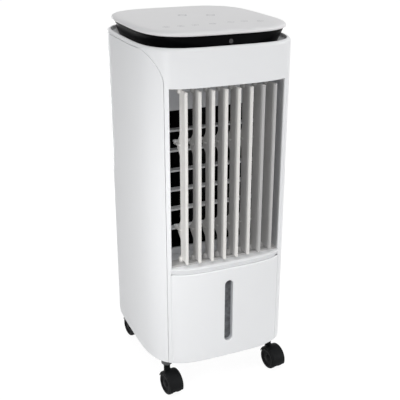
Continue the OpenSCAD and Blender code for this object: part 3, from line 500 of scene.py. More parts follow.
class COOLER_OT_front(bpy.types.Operator):
    """Build the bowed front with its fascia, opening and rim as one moulding"""

    bl_idname = "cooler.front"
    bl_label = "Front and rim"

    def front_grid(self, sizes, curve):
        """Heights run up; lengths run from the left seam over the front to the right seam. The seam
        follows the side panel's edge, upright below and a quarter circle above. The sill band leans in
        towards its lower edge and runs on as a flange behind the lower panel."""
        swing = sizes.corner + sizes.seam
        turn_z = sizes.panel_top - sizes.corner
        turn_y = -sizes.panel_edge + sizes.corner
        cut_z = sizes.lower_top + sizes.seam
        flange, lip, bend_height = 5 * MM, 2.5 * MM, 18 * MM
        flange_z = cut_z - flange
        lip_z = sizes.opening_low - lip
        band_z = lip_z - 0.6 * MM
        z = np.concatenate([
            np.linspace(sizes.bottom, flange_z, 24), [cut_z],
            np.linspace(cut_z, band_z, 4)[1:], [lip_z + 0.3 * MM],
            np.linspace(sizes.opening_low, sizes.opening_high, 40),
            [sizes.opening_high + lip],
            turn_z + swing * np.sin(np.radians(np.linspace(0, 70, 15))),
            [sizes.panel_top - 1.0 * MM, sizes.panel_top + 0.3 * MM]])
        rise = np.clip(z - turn_z, 0, swing)
        seam_y = turn_y - np.sqrt(swing ** 2 - rise ** 2)
        left = curve.left(seam_y)
        right = curve.right(seam_y)
        cut_x = sizes.lower_half + sizes.seam
        stops = curve.front(np.array([-cut_x, -sizes.opening_half, sizes.opening_half, cut_x]))
        narrow = np.concatenate([[0], np.linspace(0.3, 0.7, 14), [1]])
        wide = np.linspace(0, 1, 16)
        blend = np.clip(rise / bend_height, 0, 1)[:, None]
        share = narrow + (wide - narrow) * blend
        middle = np.linspace(stops[1], stops[2], 57)
        along = np.concatenate([
            left[:, None] + (stops[0] - left)[:, None] * share,
            np.broadcast_to(middle, (len(z), 57)),
            right[:, None] + (stops[3] - right)[:, None] * share[:, ::-1]], 1)
        first, last = 16, 16 + 56
        columns = along.shape[1]
        inset = np.zeros_like(along)
        lean = np.interp(z, [cut_z, band_z], [sizes.groove, 0.3 * sizes.groove])
        inset[:, first:last + 1] = np.where(z < lip_z, lean, 0)[:, None]
        cell_z = (z[1:] + z[:-1]) / 2
        column = np.arange(columns - 1)
        below = ((cell_z < flange_z)[:, None] & ((column >= first - 1) & (column <= last))[None, :]) \
            | ((cell_z < cut_z)[:, None] & ((column == first - 1) | (column == last))[None, :])
        inside = ((cell_z > sizes.opening_low) & (cell_z < sizes.opening_high))[:, None] \
            & ((column >= first) & (column < last))[None, :]
        points = curve.points(along, z[:, None], inset)
        return points, grid_faces(len(z), columns, keep=~(below | inside)), along[-1]

    def rim_grid(self, sizes, curve, front_columns):
        """The rim's section, a quarter round up, a small round over and down to the ledge, then
        level under the neck's foot, carried round the plan outline."""
        rest = np.linspace(front_columns[-1], curve.total + front_columns[0], 132)[1:-1]
        angle = curve.angle_at(np.concatenate([front_columns, rest]))
        big, small = 4.5 * MM, 0.8 * MM
        turn = np.radians(np.linspace(0, 90, 8))
        start = sizes.panel_top + 0.3 * MM
        top = sizes.rim_top
        inset = np.concatenate([[0], big * (1 - np.cos(turn)), big + small * np.sin(turn[2::2]),
                                big + small + small * (1 - np.cos(turn[::2]))])
        z = np.concatenate([[start], top - big + big * np.sin(turn), top - small + small * np.cos(turn[2::2]),
                            sizes.ledge + small * (1 - np.sin(turn[::2]))])
        rows = [superellipse(curve.a - i, curve.b - i, curve.n, angle) for i in inset]
        under = 8 * MM
        inner = superellipse(curve.a - sizes.neck_side - under, curve.b - sizes.neck_end - under, 3, angle)
        outer = rows[-1]
        shelf = [tuple(o + (i - o) * k for o, i in zip(outer, inner)) for k in (0.25, 0.5, 0.75, 1.0)]
        x, y = (np.array([row[axis] for row in rows + shelf]) for axis in (0, 1))
        z = np.append(z, np.full(4, sizes.ledge))
        return round_grid(spread(x, y, z[:, None]))

    def collar_grid(self, sizes, curve):
        """A rectangle's outline with small rounds, drawn from behind the bowed face straight back to
        the collar's rear edge."""
        half, radius = sizes.opening_half, 1.5 * MM
        loop = rounded_loop(half, sizes.opening_low, sizes.opening_high, radius, radius, (24, 48))
        front = -curve.depth(loop[:, 0]) + 2.0 * MM
        rear = low("outlet_throat").y + 0.5 * MM
        share = np.linspace(0, 1, 6)[:, None]
        y = front + (rear - front) * share
        return round_grid(spread(loop[:, 0], y, loop[:, 1]))

    def execute(self, context):
        sizes = context.scene.cooler_sizes
        curve = body_curve(sizes)
        points, faces, front_columns = self.front_grid(sizes, curve)
        rim = self.rim_grid(sizes, curve, front_columns)
        white = moulded("shell_white")
        add_piece("front_moulding", [(points, faces), rim], "cabinet", white, "white",
                  "front_frame", "top_cover", wall=sizes.thin_wall, edge=sizes.edge)
        collar = self.collar_grid(sizes, curve)
        add_piece("opening_collar", [collar], "cabinet", white, "white", wall=sizes.thin_wall)
        return {"FINISHED"}


def rounded_loop(half, bottom, top, top_radius, low_radius, counts):
    """Closed loop of (x, z) round a rectangle, anticlockwise from its lower right: up the right side,
    over the top with its two rounds, down the left side and back along the bottom."""
    side, across = counts
    right_z = np.linspace(bottom + low_radius, top - top_radius, side, endpoint=False)
    turn = np.linspace(0, math.pi / 2, 12)
    stations = np.concatenate([np.linspace(0, 0.1, 12), np.linspace(0.9, 1, 12)])

    def span(radius, z, up):
        """Round, straight and round, from right to left, read at even stations."""
        x = np.concatenate([half - radius + radius * np.cos(turn), -half + radius - radius * np.sin(turn)])
        lift = np.concatenate([np.sin(turn), np.cos(turn)]) * radius - radius
        even = np.linspace(0, 1, across, endpoint=False)
        return np.interp(even, stations, x), z + up * np.interp(even, stations, lift)

    top_x, top_z = span(top_radius, top, 1)
    low_x, low_z = span(low_radius, bottom, -1)
    x = np.concatenate([np.full(side, half), top_x, np.full(side, -half), -low_x])
    z = np.concatenate([right_z, top_z, right_z[::-1] + (right_z[1] - right_z[0]), low_z])
    return np.stack([x, z], -1)


def slot_loop(half, bottom, top, counts):
    """Closed loop of (x, z) round an upright slot with half-round ends, matched to rounded_loop."""
    side, across = counts
    right_z = np.linspace(bottom + half, top - half, side, endpoint=False)
    turn = np.linspace(0, math.pi, across, endpoint=False)
    x = np.concatenate([np.full(side, half), half * np.cos(turn), np.full(side, -half), -half * np.cos(turn)])
    z = np.concatenate([right_z, top - half + half * np.sin(turn),
                        right_z[::-1] + (right_z[1] - right_z[0]), bottom + half - half * np.sin(turn)])
    return np.stack([x, z], -1)


def loop_skin(curve, rows, rear=False):
    """Points of (x, z) loops, each at its depth behind the front or rear outline; the rear's columns
    run backwards, so that it faces outwards too."""
    loops = np.stack([loop for loop, depth in rows])
    y = curve.depth(loops[..., 0]) - np.array([depth for loop, depth in rows])[:, None]
    points = np.stack([loops[..., 0], y if rear else -y, loops[..., 1]], -1)
    return points[:, ::-1] if rear else points


def lathe(centre, axis, profile, count=24):
    """Profile of (radius, distance) pairs carried round an axis through a centre."""
    axis = Vector(axis).normalized()
    first = axis.orthogonal().normalized()
    second = axis.cross(first)
    angle = np.linspace(0, 2 * math.pi, count, endpoint=False)[:, None]
    round_it = np.cos(angle) * np.array(first) + np.sin(angle) * np.array(second)
    radius, along = (np.array(profile)[:, k, None, None] for k in (0, 1))
    points = np.array(centre) + radius * round_it + along * np.array(axis)
    return round_grid(points)


class COOLER_OT_sides(bpy.types.Operator):
    """Build the two curved side panels"""

    bl_idname = "cooler.sides"
    bl_label = "Side panels"

    def execute(self, context):
        sizes = context.scene.cooler_sizes
        curve = body_curve(sizes)
        turn_z = sizes.panel_top - sizes.corner
        z = np.concatenate([
            np.linspace(sizes.bottom, turn_z, 48)[:-1],
            turn_z + sizes.corner * np.sin(np.radians(np.linspace(0, 70, 15))),
            [sizes.panel_top - 1.4 * MM, sizes.panel_top - 0.2 * MM]])
        rise = np.clip(z - turn_z, 0, sizes.corner)
        front_y = -sizes.panel_edge + sizes.corner - np.sqrt(sizes.corner ** 2 - rise ** 2)
        rear = curve.left(sizes.panel_edge)
        along = rear + (curve.left(front_y) - rear)[:, None] * np.linspace(0, 1, 72)
        points = curve.points(along, z[:, None])
        faces = grid_faces(*points.shape[:2])
        mirrored = (points * np.array([-1, 1, 1]))[:, ::-1]
        for name, patch, node in (("left_panel", points, "left_side_panel"),
                                  ("right_panel", mirrored, "right_side_panel")):
            add_piece(name, [(patch, faces)], "cabinet", moulded("shell_white"), "white", node,
                      wall=sizes.wall, edge=sizes.edge)
        return {"FINISHED"}


class COOLER_OT_lower_panel(bpy.types.Operator):
    """Build the bowed lower front panel with its water-level window"""

    bl_idname = "cooler.lower_panel"
    bl_label = "Lower front panel"

    def execute(self, context):
        sizes = context.scene.cooler_sizes
        curve = body_curve(sizes)
        counts = (40, 48)
        lens_low, lens_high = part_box("level_window")
        border = sizes.lens_border
        half = lens_high.x - border
        window = (half, lens_low.z + border, lens_high.z - border)
        corner, edge, lip, rebate = 2 * MM, 1.6 * MM, 1.1 * MM, 2 * MM
        seat, depth = lens_low.y + sizes.half_depth, sizes.lens_depth

        def panel(inset, depth):
            loop = rounded_loop(sizes.lower_half - inset, sizes.bottom + inset, sizes.lower_top - inset,
                                corner - inset, corner - inset, counts)
            return loop, depth

        def slot(grow, depth):
            return slot_loop(window[0] + grow, window[1] - grow, window[2] + grow, counts), depth

        turn = np.radians(np.linspace(0, 90, 6))
        rows = [panel(0, sizes.wall)]
        rows += [panel(edge * (1 - math.cos(t)), edge * (1 - math.sin(t))) for t in turn]
        outer, inner = rows[-1][0], slot(lip, 0)[0]
        rows += [(outer + (inner - outer) * k, 0) for k in np.linspace(0, 1, 20)[1:-1]]
        rows += [slot(lip * (1 - math.sin(t)), lip * (1 - math.cos(t))) for t in turn]
        clear = seat - 0.02 * MM
        rows += [slot(0, clear), slot(rebate, clear), slot(rebate, sizes.wall)]
        back = rows[0][0]
        rows += [(inner + (back - inner) * k, sizes.wall) for k in (0.3, 0.7)]
        points = loop_skin(curve, rows)
        faces = grid_faces(*points.shape[:2], wrap_columns=True, wrap_rows=True)
        add_piece("lower_panel", [(points, faces)], "cabinet", moulded("shell_white"), "white",
                  "lower_front_panel")
        lens_back, rim, cove = depth + 1.5 * MM, 1.9 * MM, 1.2 * MM
        rows = [slot(-half, lens_back), slot(rim, lens_back), slot(rim, seat), slot(0, seat)]
        rows += [slot(-cove * (1 - math.cos(t)), depth - cove * (1 - math.sin(t))) for t in turn]
        rows += [slot(-half, depth)]
        add_piece("level_lens", [round_grid(loop_skin(curve, rows))], "cabinet",
                  lens_grey(depth - sizes.half_depth), "window", "level_window")
        return {"FINISHED"}


class COOLER_OT_top(bpy.types.Operator):
    """Build the black neck, the lid and its printed marks"""

    bl_idname = "cooler.top"
    bl_label = "Neck and lid"

    def neck(self, sizes, curve, lid_low, lid_high, angle):
        """Straight lean from the foot's outline to the outline under the lid."""
        share = np.linspace(0, 1, 9)[:, None]
        foot = superellipse(curve.a - sizes.neck_side, curve.b - sizes.neck_end, 3, angle)
        brim = 3 * MM
        top = superellipse(lid_high.x - brim, lid_high.y - brim, 3.8, angle)
        x, y = (f + (t - f) * share for f, t in zip(foot, top))
        z = sizes.ledge + (lid_low.z - sizes.ledge) * share
        return spread(x, y, z)

    def lid(self, lid_low, lid_high, angle):
        """Under side, round brim and nearly flat top: the upper brim is a cubic superellipse in
        section, and the last rows close in to the middle."""
        height = lid_high.z - lid_low.z - 0.08 * MM
        belly = 0.35 * height
        under = np.radians(np.linspace(90, 0, 8))[:-1]
        over = np.radians(np.linspace(0, 90, 20))
        reach, turned_in = 16 * MM, 4 * MM
        inset = np.concatenate([[lid_high.x], [30 * MM], turned_in * (1 - np.cos(under)),
                                reach * (1 - np.cos(over) ** (2 / 3)), [40 * MM, 70 * MM, lid_high.x]])
        z = np.concatenate([[0, 0], belly * (1 - np.sin(under)),
                            belly + (height - belly) * np.sin(over) ** (2 / 3), np.full(3, height)])
        shrink = (1 - inset / lid_high.x)[:, None]
        a = lid_high.x * shrink
        b = np.where(shrink > 0.6, lid_high.y - inset[:, None], lid_high.y * shrink)
        x, y = superellipse(a, b, 3.8, angle)
        return spread(x, y, lid_low.z + z[:, None])

    def marks(self, z):
        """Flat rings, arcs and bars: each is a grid between two radii or two edges."""
        patches = []

        def arc(cx, cy, r, width, start, end):
            turn = np.radians(np.linspace(start, end, 33))[None, :]
            radius = np.array([r + width / 2, r - width / 2])[:, None]
            x, y = cx + radius * np.cos(turn), cy + radius * np.sin(turn)
            patches.append((spread(x, y, z / MM) * MM, grid_faces(2, 33)))

        def bar(x0, y0, x1, y1, width):
            along = np.array([x1 - x0, y1 - y0])
            side = np.array([along[1], -along[0]]) / np.hypot(*along) * width / 2
            share = np.linspace(0, 1, 5)[:, None]
            line = np.array([x0, y0]) + along * share
            grid = np.stack([line + side, line - side])
            full = np.concatenate([grid, np.full((2, 5, 1), z / MM)], -1) * MM
            patches.append((full, grid_faces(2, 5)))

        keys = [(-77, -77), (-55, -77), (-33, -76.5), (-5, -74), (25, -71), (47, -70), (69, -78)]
        for cx, cy in keys:
            arc(cx, cy, 4.6, 0.7, 0, 360)
        arc(*keys[0], 2.4, 0.7, 120, 420)
        bar(keys[0][0], keys[0][1] + 0.6, keys[0][0], keys[0][1] + 3.2, 0.7)
        for k in range(3):
            x, y = keys[1]
            bar(x - 2.2, y - 1.6 + 1.6 * k, x + 2.2, y - 1.6 + 1.6 * k, 0.7)
            turn = math.radians(90 + 120 * k)
            bar(*keys[2], keys[2][0] + 2.8 * math.cos(turn), keys[2][1] + 2.8 * math.sin(turn), 1.0)
            arc(*keys[4], 1.0 + 1.0 * k, 0.5, 30, 150)
        arc(*keys[3], 2.6, 0.7, 200, 520)
        bar(*keys[5], keys[5][0], keys[5][1] + 2.8, 0.7)
        bar(*keys[5], keys[5][0] + 2.2, keys[5][1], 0.7)
        arc(*keys[6], 2.6, 0.7, 60, 300)
        arc(-13, 22, 6, 1.8, 0, 360)
        arc(27, 6, 6, 1.6, 0, 360)
        return patches

    def execute(self, context):
        sizes = context.scene.cooler_sizes
        curve = body_curve(sizes)
        lid_low, lid_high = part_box("lid")
        angle = curve.angle_at(np.linspace(0, curve.total, 240, endpoint=False))
        neck = round_grid(self.neck(sizes, curve, lid_low, lid_high, angle))
        add_piece("black_neck", [neck], "cabinet", moulded("neck_black"), "neck", "neck_band",
                  wall=sizes.neck_wall)
        lid = round_grid(self.lid(lid_low, lid_high, angle))
        add_piece("touch_lid", [lid], "cabinet", moulded("lid_white"), "white", "lid")
        add_piece("lid_marks", self.marks(lid_high.z - 0.03 * MM), "cabinet", moulded("mark_grey"), "white")
        paint(moulded("infrared_dark"), "infrared_window")
        return {"FINISHED"}


class COOLER_OT_louvres(bpy.types.Operator):
    """Build the louvre blades with hubs and lugs, and finish link bars, rails, throat and guard slats"""

    bl_idname = "cooler.louvres"
    bl_label = "Louvres and throat"

    def blade(self, sizes, bottom, top, lug_low, lug_high):
        """Section: an arc whose half thickness swells to a round bead in front and closes in a round at
        the rear. Rows run up; the rear end reaches back at each lug and draws in by a smooth step above
        and below it, and the last rows shrink the thickness to the arc, which closes the ends."""
        step = np.concatenate([[0, 0.35, 0.7], np.linspace(1, 2.2, 5), np.linspace(3, 19, 17)]) / 20
        end = np.array([0.4, 0.8, 1.0])
        near, span, flat_part, ease = np.linspace(-18, 18, 19) * MM, 20 * MM, 2.5 * MM, 15 * MM
        z = np.concatenate([[bottom] * 2, bottom + np.array([0.5, 1.2]) * MM,
                            np.linspace(bottom + 4 * MM, lug_low - span, 6), lug_low + near,
                            np.linspace(lug_low + span, lug_high - span, 8), lug_high + near,
                            np.linspace(lug_high + span, top - 4 * MM, 6),
                            top - np.array([1.2, 0.5]) * MM, [top] * 2])[:, None]
        thin = np.ones_like(z)
        thin[[0, -1]], thin[[1, -2]], thin[[2, -3]] = 0, 0.6, 0.85
        away = np.minimum(np.abs(z - lug_low), np.abs(z - lug_high)) - flat_part
        away = np.clip(away / ease, 0, 1)
        draw = away ** 2 * (3 - 2 * away)
        rear = sizes.blade_rear * (1 - 0.9 * draw)
        tip = -sizes.blade_front - sizes.bead
        along = tip + (rear - tip) * np.append(step, end * 0.05 + 0.95)[None, :]
        ahead = np.clip(1 - ((along + sizes.blade_front) / sizes.bead) ** 2, 0, None)
        swell = np.sqrt(ahead) * sizes.bead
        close = np.sqrt(np.clip((rear - along) / sizes.blade_half, 0, 1))
        flat = np.where(along > -sizes.blade_front, sizes.blade_half * close, 0)
        half = np.maximum(swell, flat) * thin
        both = np.concatenate([along, along[:, -2:0:-1]], 1)
        offset = np.concatenate([half, -half[:, -2:0:-1]], 1)
        turn = both / sizes.blade_curve
        radius = sizes.blade_curve + offset
        x, y = -sizes.blade_curve + radius * np.cos(turn), radius * np.sin(turn)
        return round_grid(spread(x, y, z))

    def mark_lit_strip(self, mesh, bead, reach):
        """Stores how far each point lies inside a reach round the bead's upright line, the mask of the
        painted lit strip; a half is its rim.
        """
        place = np.empty(3 * len(mesh.vertices))
        mesh.vertices.foreach_get("co", place)
        away = np.hypot(*(place.reshape(-1, 3)[:, :2] - bead).T)
        edge = mesh.attributes.new("bead", "FLOAT", "POINT")
        edge.data.foreach_set("value", np.clip(0.5 + (reach - away) / (4 * MM), 0, 1))

    def arm(self, reach, wide, low_z, high_z):
        """Flat arm with round ends from the pivot to the crank pin: a stadium outline, drawn in at its
        lower and upper rim and closed on its middle line."""
        turn = np.linspace(-math.pi / 2, math.pi / 2, 13)
        x = np.concatenate([math.hypot(*reach) + wide * np.cos(turn), -wide * np.cos(turn)])
        y = np.concatenate([wide * np.sin(turn), -wide * np.sin(turn)])
        heading = math.atan2(reach[1], reach[0])
        shrink = np.array([0, 0.85, 1, 1, 0.85, 0])[:, None]
        rim = 0.4 * MM
        z = np.array([low_z, low_z, low_z + rim, high_z - rim, high_z, high_z])[:, None]
        middle = np.clip(x, 0, math.hypot(*reach))
        x = middle + (x - middle) * shrink
        y = y * shrink
        c, s = math.cos(heading), math.sin(heading)
        return round_grid(spread(x * c - y * s, x * s + y * c, z))

    def hub(self, sizes, tip, seat, blade, up):
        """Pin through a rail and round hub on the end of a blade. The profile runs from the pin's tip into
        the blade, upwards (1) at the lower end and downwards (-1) at the upper one."""
        hub, pin = sizes.hub, sizes.pin
        profile = [(0, tip), (pin, tip), (pin, seat), (hub - 0.4 * MM, seat), (hub, seat + up * 0.4 * MM),
                   (hub, blade + up * 4 * MM), (hub - 1.2 * MM, blade + up * 5.6 * MM),
                   (0, blade + up * 6 * MM)]
        return lathe((0, 0, 0), (0, 0, 1), profile[::up])

    def execute(self, context):
        sizes = context.scene.cooler_sizes
        bottom, top = sizes.opening_low + sizes.blade_gap, sizes.opening_high - sizes.blade_gap
        pins = {end: np.array(JOINTS[f"link_{end}_pivot"]["pos_m"]) for end in ("lower", "upper")}
        crank = (pins["lower"] - np.array(JOINTS["louvre_4_swing"]["pos_m"]))[:2]
        lugs = [low(f"link_bar_{end}").z - sizes.seam for end in ("lower", "upper")]
        rail = sizes.rail_gap
        for i in range(1, 9):
            angle = sizes.louvre_rest + sizes.louvre_fan * (i - 4.5)
            c, s = math.cos(angle), math.sin(angle)
            blade, faces = self.blade(sizes, bottom, top, *(lug - sizes.lug_height / 2 for lug in lugs))
            blade = np.stack([blade[..., 0] * c - blade[..., 1] * s, blade[..., 0] * s + blade[..., 1] * c,
                              blade[..., 2]], -1)
            patches = [(blade, faces),
                       self.hub(sizes, low(f"louvre_{i}").z, sizes.opening_low + rail, bottom, 1),
                       self.hub(sizes, high(f"louvre_{i}").z, sizes.opening_high - rail, top, -1)]
            for lug in lugs:
                patches.append(self.arm(crank, sizes.lug_half, lug - sizes.lug_height, lug))
                pin = np.array([(0, -2), (1.5, -2), (1.5, 3.4), (1.1, 3.8), (0, 3.8)]) * MM + (0, lug)
                patches.append(lathe((*crank, 0), (0, 0, 1), pin, 16))
            pivot = np.array([*JOINTS[f"louvre_{i}_swing"]["pos_m"][:2], 0])
            piece = add_piece(f"blade_{i}", [(points + pivot, cells) for points, cells in patches],
                              f"louvre_{i}", blade_white(), "louvre", f"louvre_{i}")
            bend = -sizes.blade_front / sizes.blade_curve
            bead = sizes.blade_curve * np.array([math.cos(bend) - 1, math.sin(bend)])
            bead = pivot[:2] + (bead[0] * c - bead[1] * s, bead[0] * s + bead[1] * c)
            # The painted lit strip narrows from left to right and stands for the light that gets past each
            # left neighbour's shadow; the first blade, which no neighbour shades, is painted lit all over
            white = 60 if i == 1 else 5.2 - 0.75 * i
            self.mark_lit_strip(piece.data, bead, sizes.bead + white * MM)
        paint(moulded("louvre_white"), "louvre_top_rail", "louvre_bottom_rail")
        paint(moulded("shell_white"), "link_bar_upper", "link_bar_lower", "guard_slats")
        paint(moulded("inner_grey"), "outlet_throat")
        return {"FINISHED"}


class COOLER_OT_inside(bpy.types.Operator):
    """Finish the parts inside the cabinet"""

    bl_idname = "cooler.inside"
    bl_label = "Inner parts"

    def execute(self, context):
        paint(moulded("inner_grey"), "mid_deck", "top_deck", "water_distributor")
        paint(base_white(context.scene.cooler_sizes.bottom), "base_pan")
        paint(moulded("fan_black"), "blower_wheel", "blower_casing", "water_pump")
        paint(brushed("motor_can", (0.4, 0.4, 0.41), 0.4), "blower_motor", "swing_motor")
        paint(moulded("board_green"), "control_board")
        paint(moulded("hose_clear"), "pump_hose")
        pad = finishes().pad
        paint(waved("pad_fibre", pad, tuple(0.5 * c for c in pad[:3]) + (1,), 160.0, 0.85, 0.6 * MM),
              "cooling_pad")
        return {"FINISHED"}


class COOLER_OT_rear(bpy.types.Operator):
    """Build the rear shell, inlet grille and tank, and finish filter, gland and screws"""

    bl_idname = "cooler.rear"
    bl_label = "Rear"

    def plate(self, curve, x_stops, z_stops, holes):
        """Curved plate on the rear outline. Columns run from right to left, so that rows run up and
        the plate faces the rear; cells whose middle lies in a hole (x0, z0, x1, z1) are left out."""
        x, z = np.array(x_stops)[::-1], np.array(z_stops)
        points = spread(x, curve.depth(x), z[:, None])
        mid_x, mid_z = (x[1:] + x[:-1]) / 2, ((z[1:] + z[:-1]) / 2)[:, None]
        keep = np.ones((len(z) - 1, len(x) - 1), bool)
        for x0, z0, x1, z1 in holes:
            keep &= ~((mid_x > x0) & (mid_x < x1) & (mid_z > z0) & (mid_z < z1))
        return points, grid_faces(len(z), len(x), keep=keep)

    def stops(self, marks, step):
        """The marks in order, with even stops between them no further apart than a step."""
        marks = np.unique(np.round(marks, 7))
        parts = [np.linspace(a, b, max(2, math.ceil((b - a) / step) + 1))[:-1]
                 for a, b in zip(marks[:-1], marks[1:])]
        return np.append(np.concatenate(parts), marks[-1])

    def shell(self, sizes, curve):
        """Rear outline between the side seams, cut out for inlet, tank and gland."""
        reach = sizes.half_width * (1 - (sizes.panel_edge / sizes.half_depth) ** curve.n) ** (1 / curve.n)
        edge = reach - 0.5 * MM
        holes = []
        for node, gap in (("inlet_grille", 0.6 * MM), ("water_tank", 0.5 * MM), ("cord_gland", -2.5 * MM)):
            near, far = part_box(node)
            holes.append((near.x - gap, near.z - gap, far.x + gap, far.z + gap))
        x_marks = [-edge, edge, *(h[0] for h in holes), *(h[2] for h in holes)]
        z_marks = [sizes.bottom, sizes.panel_top - 0.2 * MM, *(h[1] for h in holes), *(h[3] for h in holes)]
        return self.plate(curve, self.stops(x_marks, 4 * MM), self.stops(z_marks, 12 * MM), holes)

    def grille(self, curve, near, far):
        """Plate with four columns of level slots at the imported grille's pitch."""
        rib, pitch, slot = 5 * MM, 9 * MM, 5 * MM
        width = (far.x - near.x - 5 * rib) / 4
        left = near.x + rib + (width + rib) * np.arange(4)
        rows = int((far.z - near.z - 2 * rib) / pitch + 1e-6)
        bottom = near.z + rib + 2 * MM + pitch * np.arange(rows)
        holes = [(x, z, x + width, z + slot) for x in left for z in bottom]
        x_marks = [near.x, far.x, *left, *(left + width)]
        z_marks = [near.z, far.z, *bottom, *(bottom + slot)]
        return self.plate(curve, self.stops(x_marks, 3.5 * MM), self.stops(z_marks, 20 * MM), holes)

    def collar(self, curve, near, far):
        """Rectangular loop drawn from the filter's seat to just under the curved plate."""
        loop = rounded_loop(far.x, near.z, far.z, 1.0 * MM, 1.0 * MM, (40, 48))
        rear = curve.depth(loop[:, 0]) - 1.0 * MM
        y = rear + (near.y - rear) * np.linspace(0, 1, 4)[:, None]
        return round_grid(spread(loop[:, 0], y, loop[:, 1]))

    def tank_face(self, sizes, curve, near, far):
        """Face with round edges that runs over a round lip into the finger pocket and closes at the
        pocket's back."""
        counts = (24, 48)
        top = far.z - sizes.grip_gap
        bottom = top - sizes.grip_height
        edge, lip, radius = 1.4 * MM, 2.0 * MM, 8 * MM
        corner, flange = 3 * MM, 12 * MM

        def face(inset, depth):
            return rounded_loop(far.x - inset, near.z + inset, far.z - inset, corner, corner, counts), depth

        def pocket(grow, depth):
            return rounded_loop(sizes.grip_half + grow, bottom - grow, top + grow, radius + grow,
                                radius + grow, counts), depth

        turn = np.radians(np.linspace(0, 90, 6))
        rows = [face(flange, sizes.wall), face(0, sizes.wall)]
        rows += [face(edge * (1 - math.cos(t)), edge * (1 - math.sin(t))) for t in turn]
        outer, inner = rows[-1][0], pocket(lip, 0)[0]
        rows += [(outer + (inner - outer) * k, 0) for k in np.linspace(0, 1, 16)[1:-1]]
        rows += [pocket(lip * (1 - math.sin(t)), lip * (1 - math.cos(t))) for t in turn]
        fillet = 4 * MM
        rows += [pocket(-fillet * (1 - math.cos(t)), sizes.grip_depth - fillet * (1 - math.sin(t)))
                 for t in turn]
        back, middle = rows[-1][0], np.array([0, (bottom + top) / 2])
        rows += [(middle + (back - middle) * k, sizes.grip_depth) for k in (0.6, 0.25, 0.0)]
        return round_grid(loop_skin(curve, rows, rear=True))

    def tub(self, sizes, curve, near, far):
        """Floor rows grow from the middle to the wall's outline, then wall rows run up. The rear wall
        follows the cabinet's outline and is left open round the finger pocket."""
        half, grip = sizes.tank_half, sizes.grip_half
        floor, rim = near.z + 2 * MM, far.z - sizes.tank_rim
        top = far.z - sizes.grip_gap
        x_rear = self.stops([-half, -grip, grip, half], 4 * MM)[::-1]
        y_rear = curve.depth(x_rear) - 1.2 * MM
        y_side = np.linspace(near.y, y_rear[0], 30)
        x_front = np.linspace(-half, half, 24)
        x = np.concatenate([np.full(29, half), x_rear[:-1], np.full(29, -half), x_front[:-1]])
        y = np.concatenate([y_side[:-1], y_rear[:-1], y_side[:0:-1], np.full(23, near.y)])
        z = self.stops([floor, top - sizes.grip_height, top, rim], 12 * MM)
        grow = np.append([0, 0.3, 0.6, 0.9], np.ones(len(z)))[:, None]
        middle = (near.y + y_rear.max()) / 2
        z = np.append(np.full(4, floor), z)[:, None]
        points = spread(x * grow, middle + (y - middle) * grow, z)
        mid_z = (z[1:] + z[:-1]) / 2
        mid_x = (x + np.roll(x, -1)) / 2
        keep = ~((mid_z > top - sizes.grip_height) & (mid_z < top) & (np.abs(mid_x) < grip) & (y > 0))
        return points, grid_faces(*points.shape[:2], wrap_columns=True, keep=keep)

    def execute(self, context):
        sizes = context.scene.cooler_sizes
        curve = body_curve(sizes)
        white = moulded("shell_white")
        add_piece("rear_shell", [self.shell(sizes, curve)], "cabinet", white, "white", "rear_frame",
                  wall=sizes.wall, edge=sizes.edge)
        near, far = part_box("inlet_grille")
        add_piece("grille_plate", [self.grille(curve, near, far)], "inlet_cover", white, "white",
                  "inlet_grille", wall=sizes.wall, edge=0.5 * MM, segments=2)
        add_piece("grille_collar", [self.collar(curve, near, far)], "inlet_cover", white, "white",
                  wall=sizes.thin_wall)
        near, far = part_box("water_tank")
        add_piece("tank_face", [self.tank_face(sizes, curve, near, far)], "tank", white, "tank", "water_tank")
        add_piece("tank_tub", [self.tub(sizes, curve, near, far)], "tank", moulded("tank_pale"), "tank",
                  wall=sizes.tank_wall, edge=sizes.edge)
        paint(waved("filter_screen", (0.09, 0.095, 0.1, 1), (0.3, 0.31, 0.32, 1), 420.0, 0.7, 0.3 * MM),
              "dust_filter")
        paint(moulded("bush_black"), "cord_gland")
        paint(brushed("plated_steel", (0.62, 0.63, 0.64), 0.32), "rear_screws", "caster_washers")
        return {"FINISHED"}


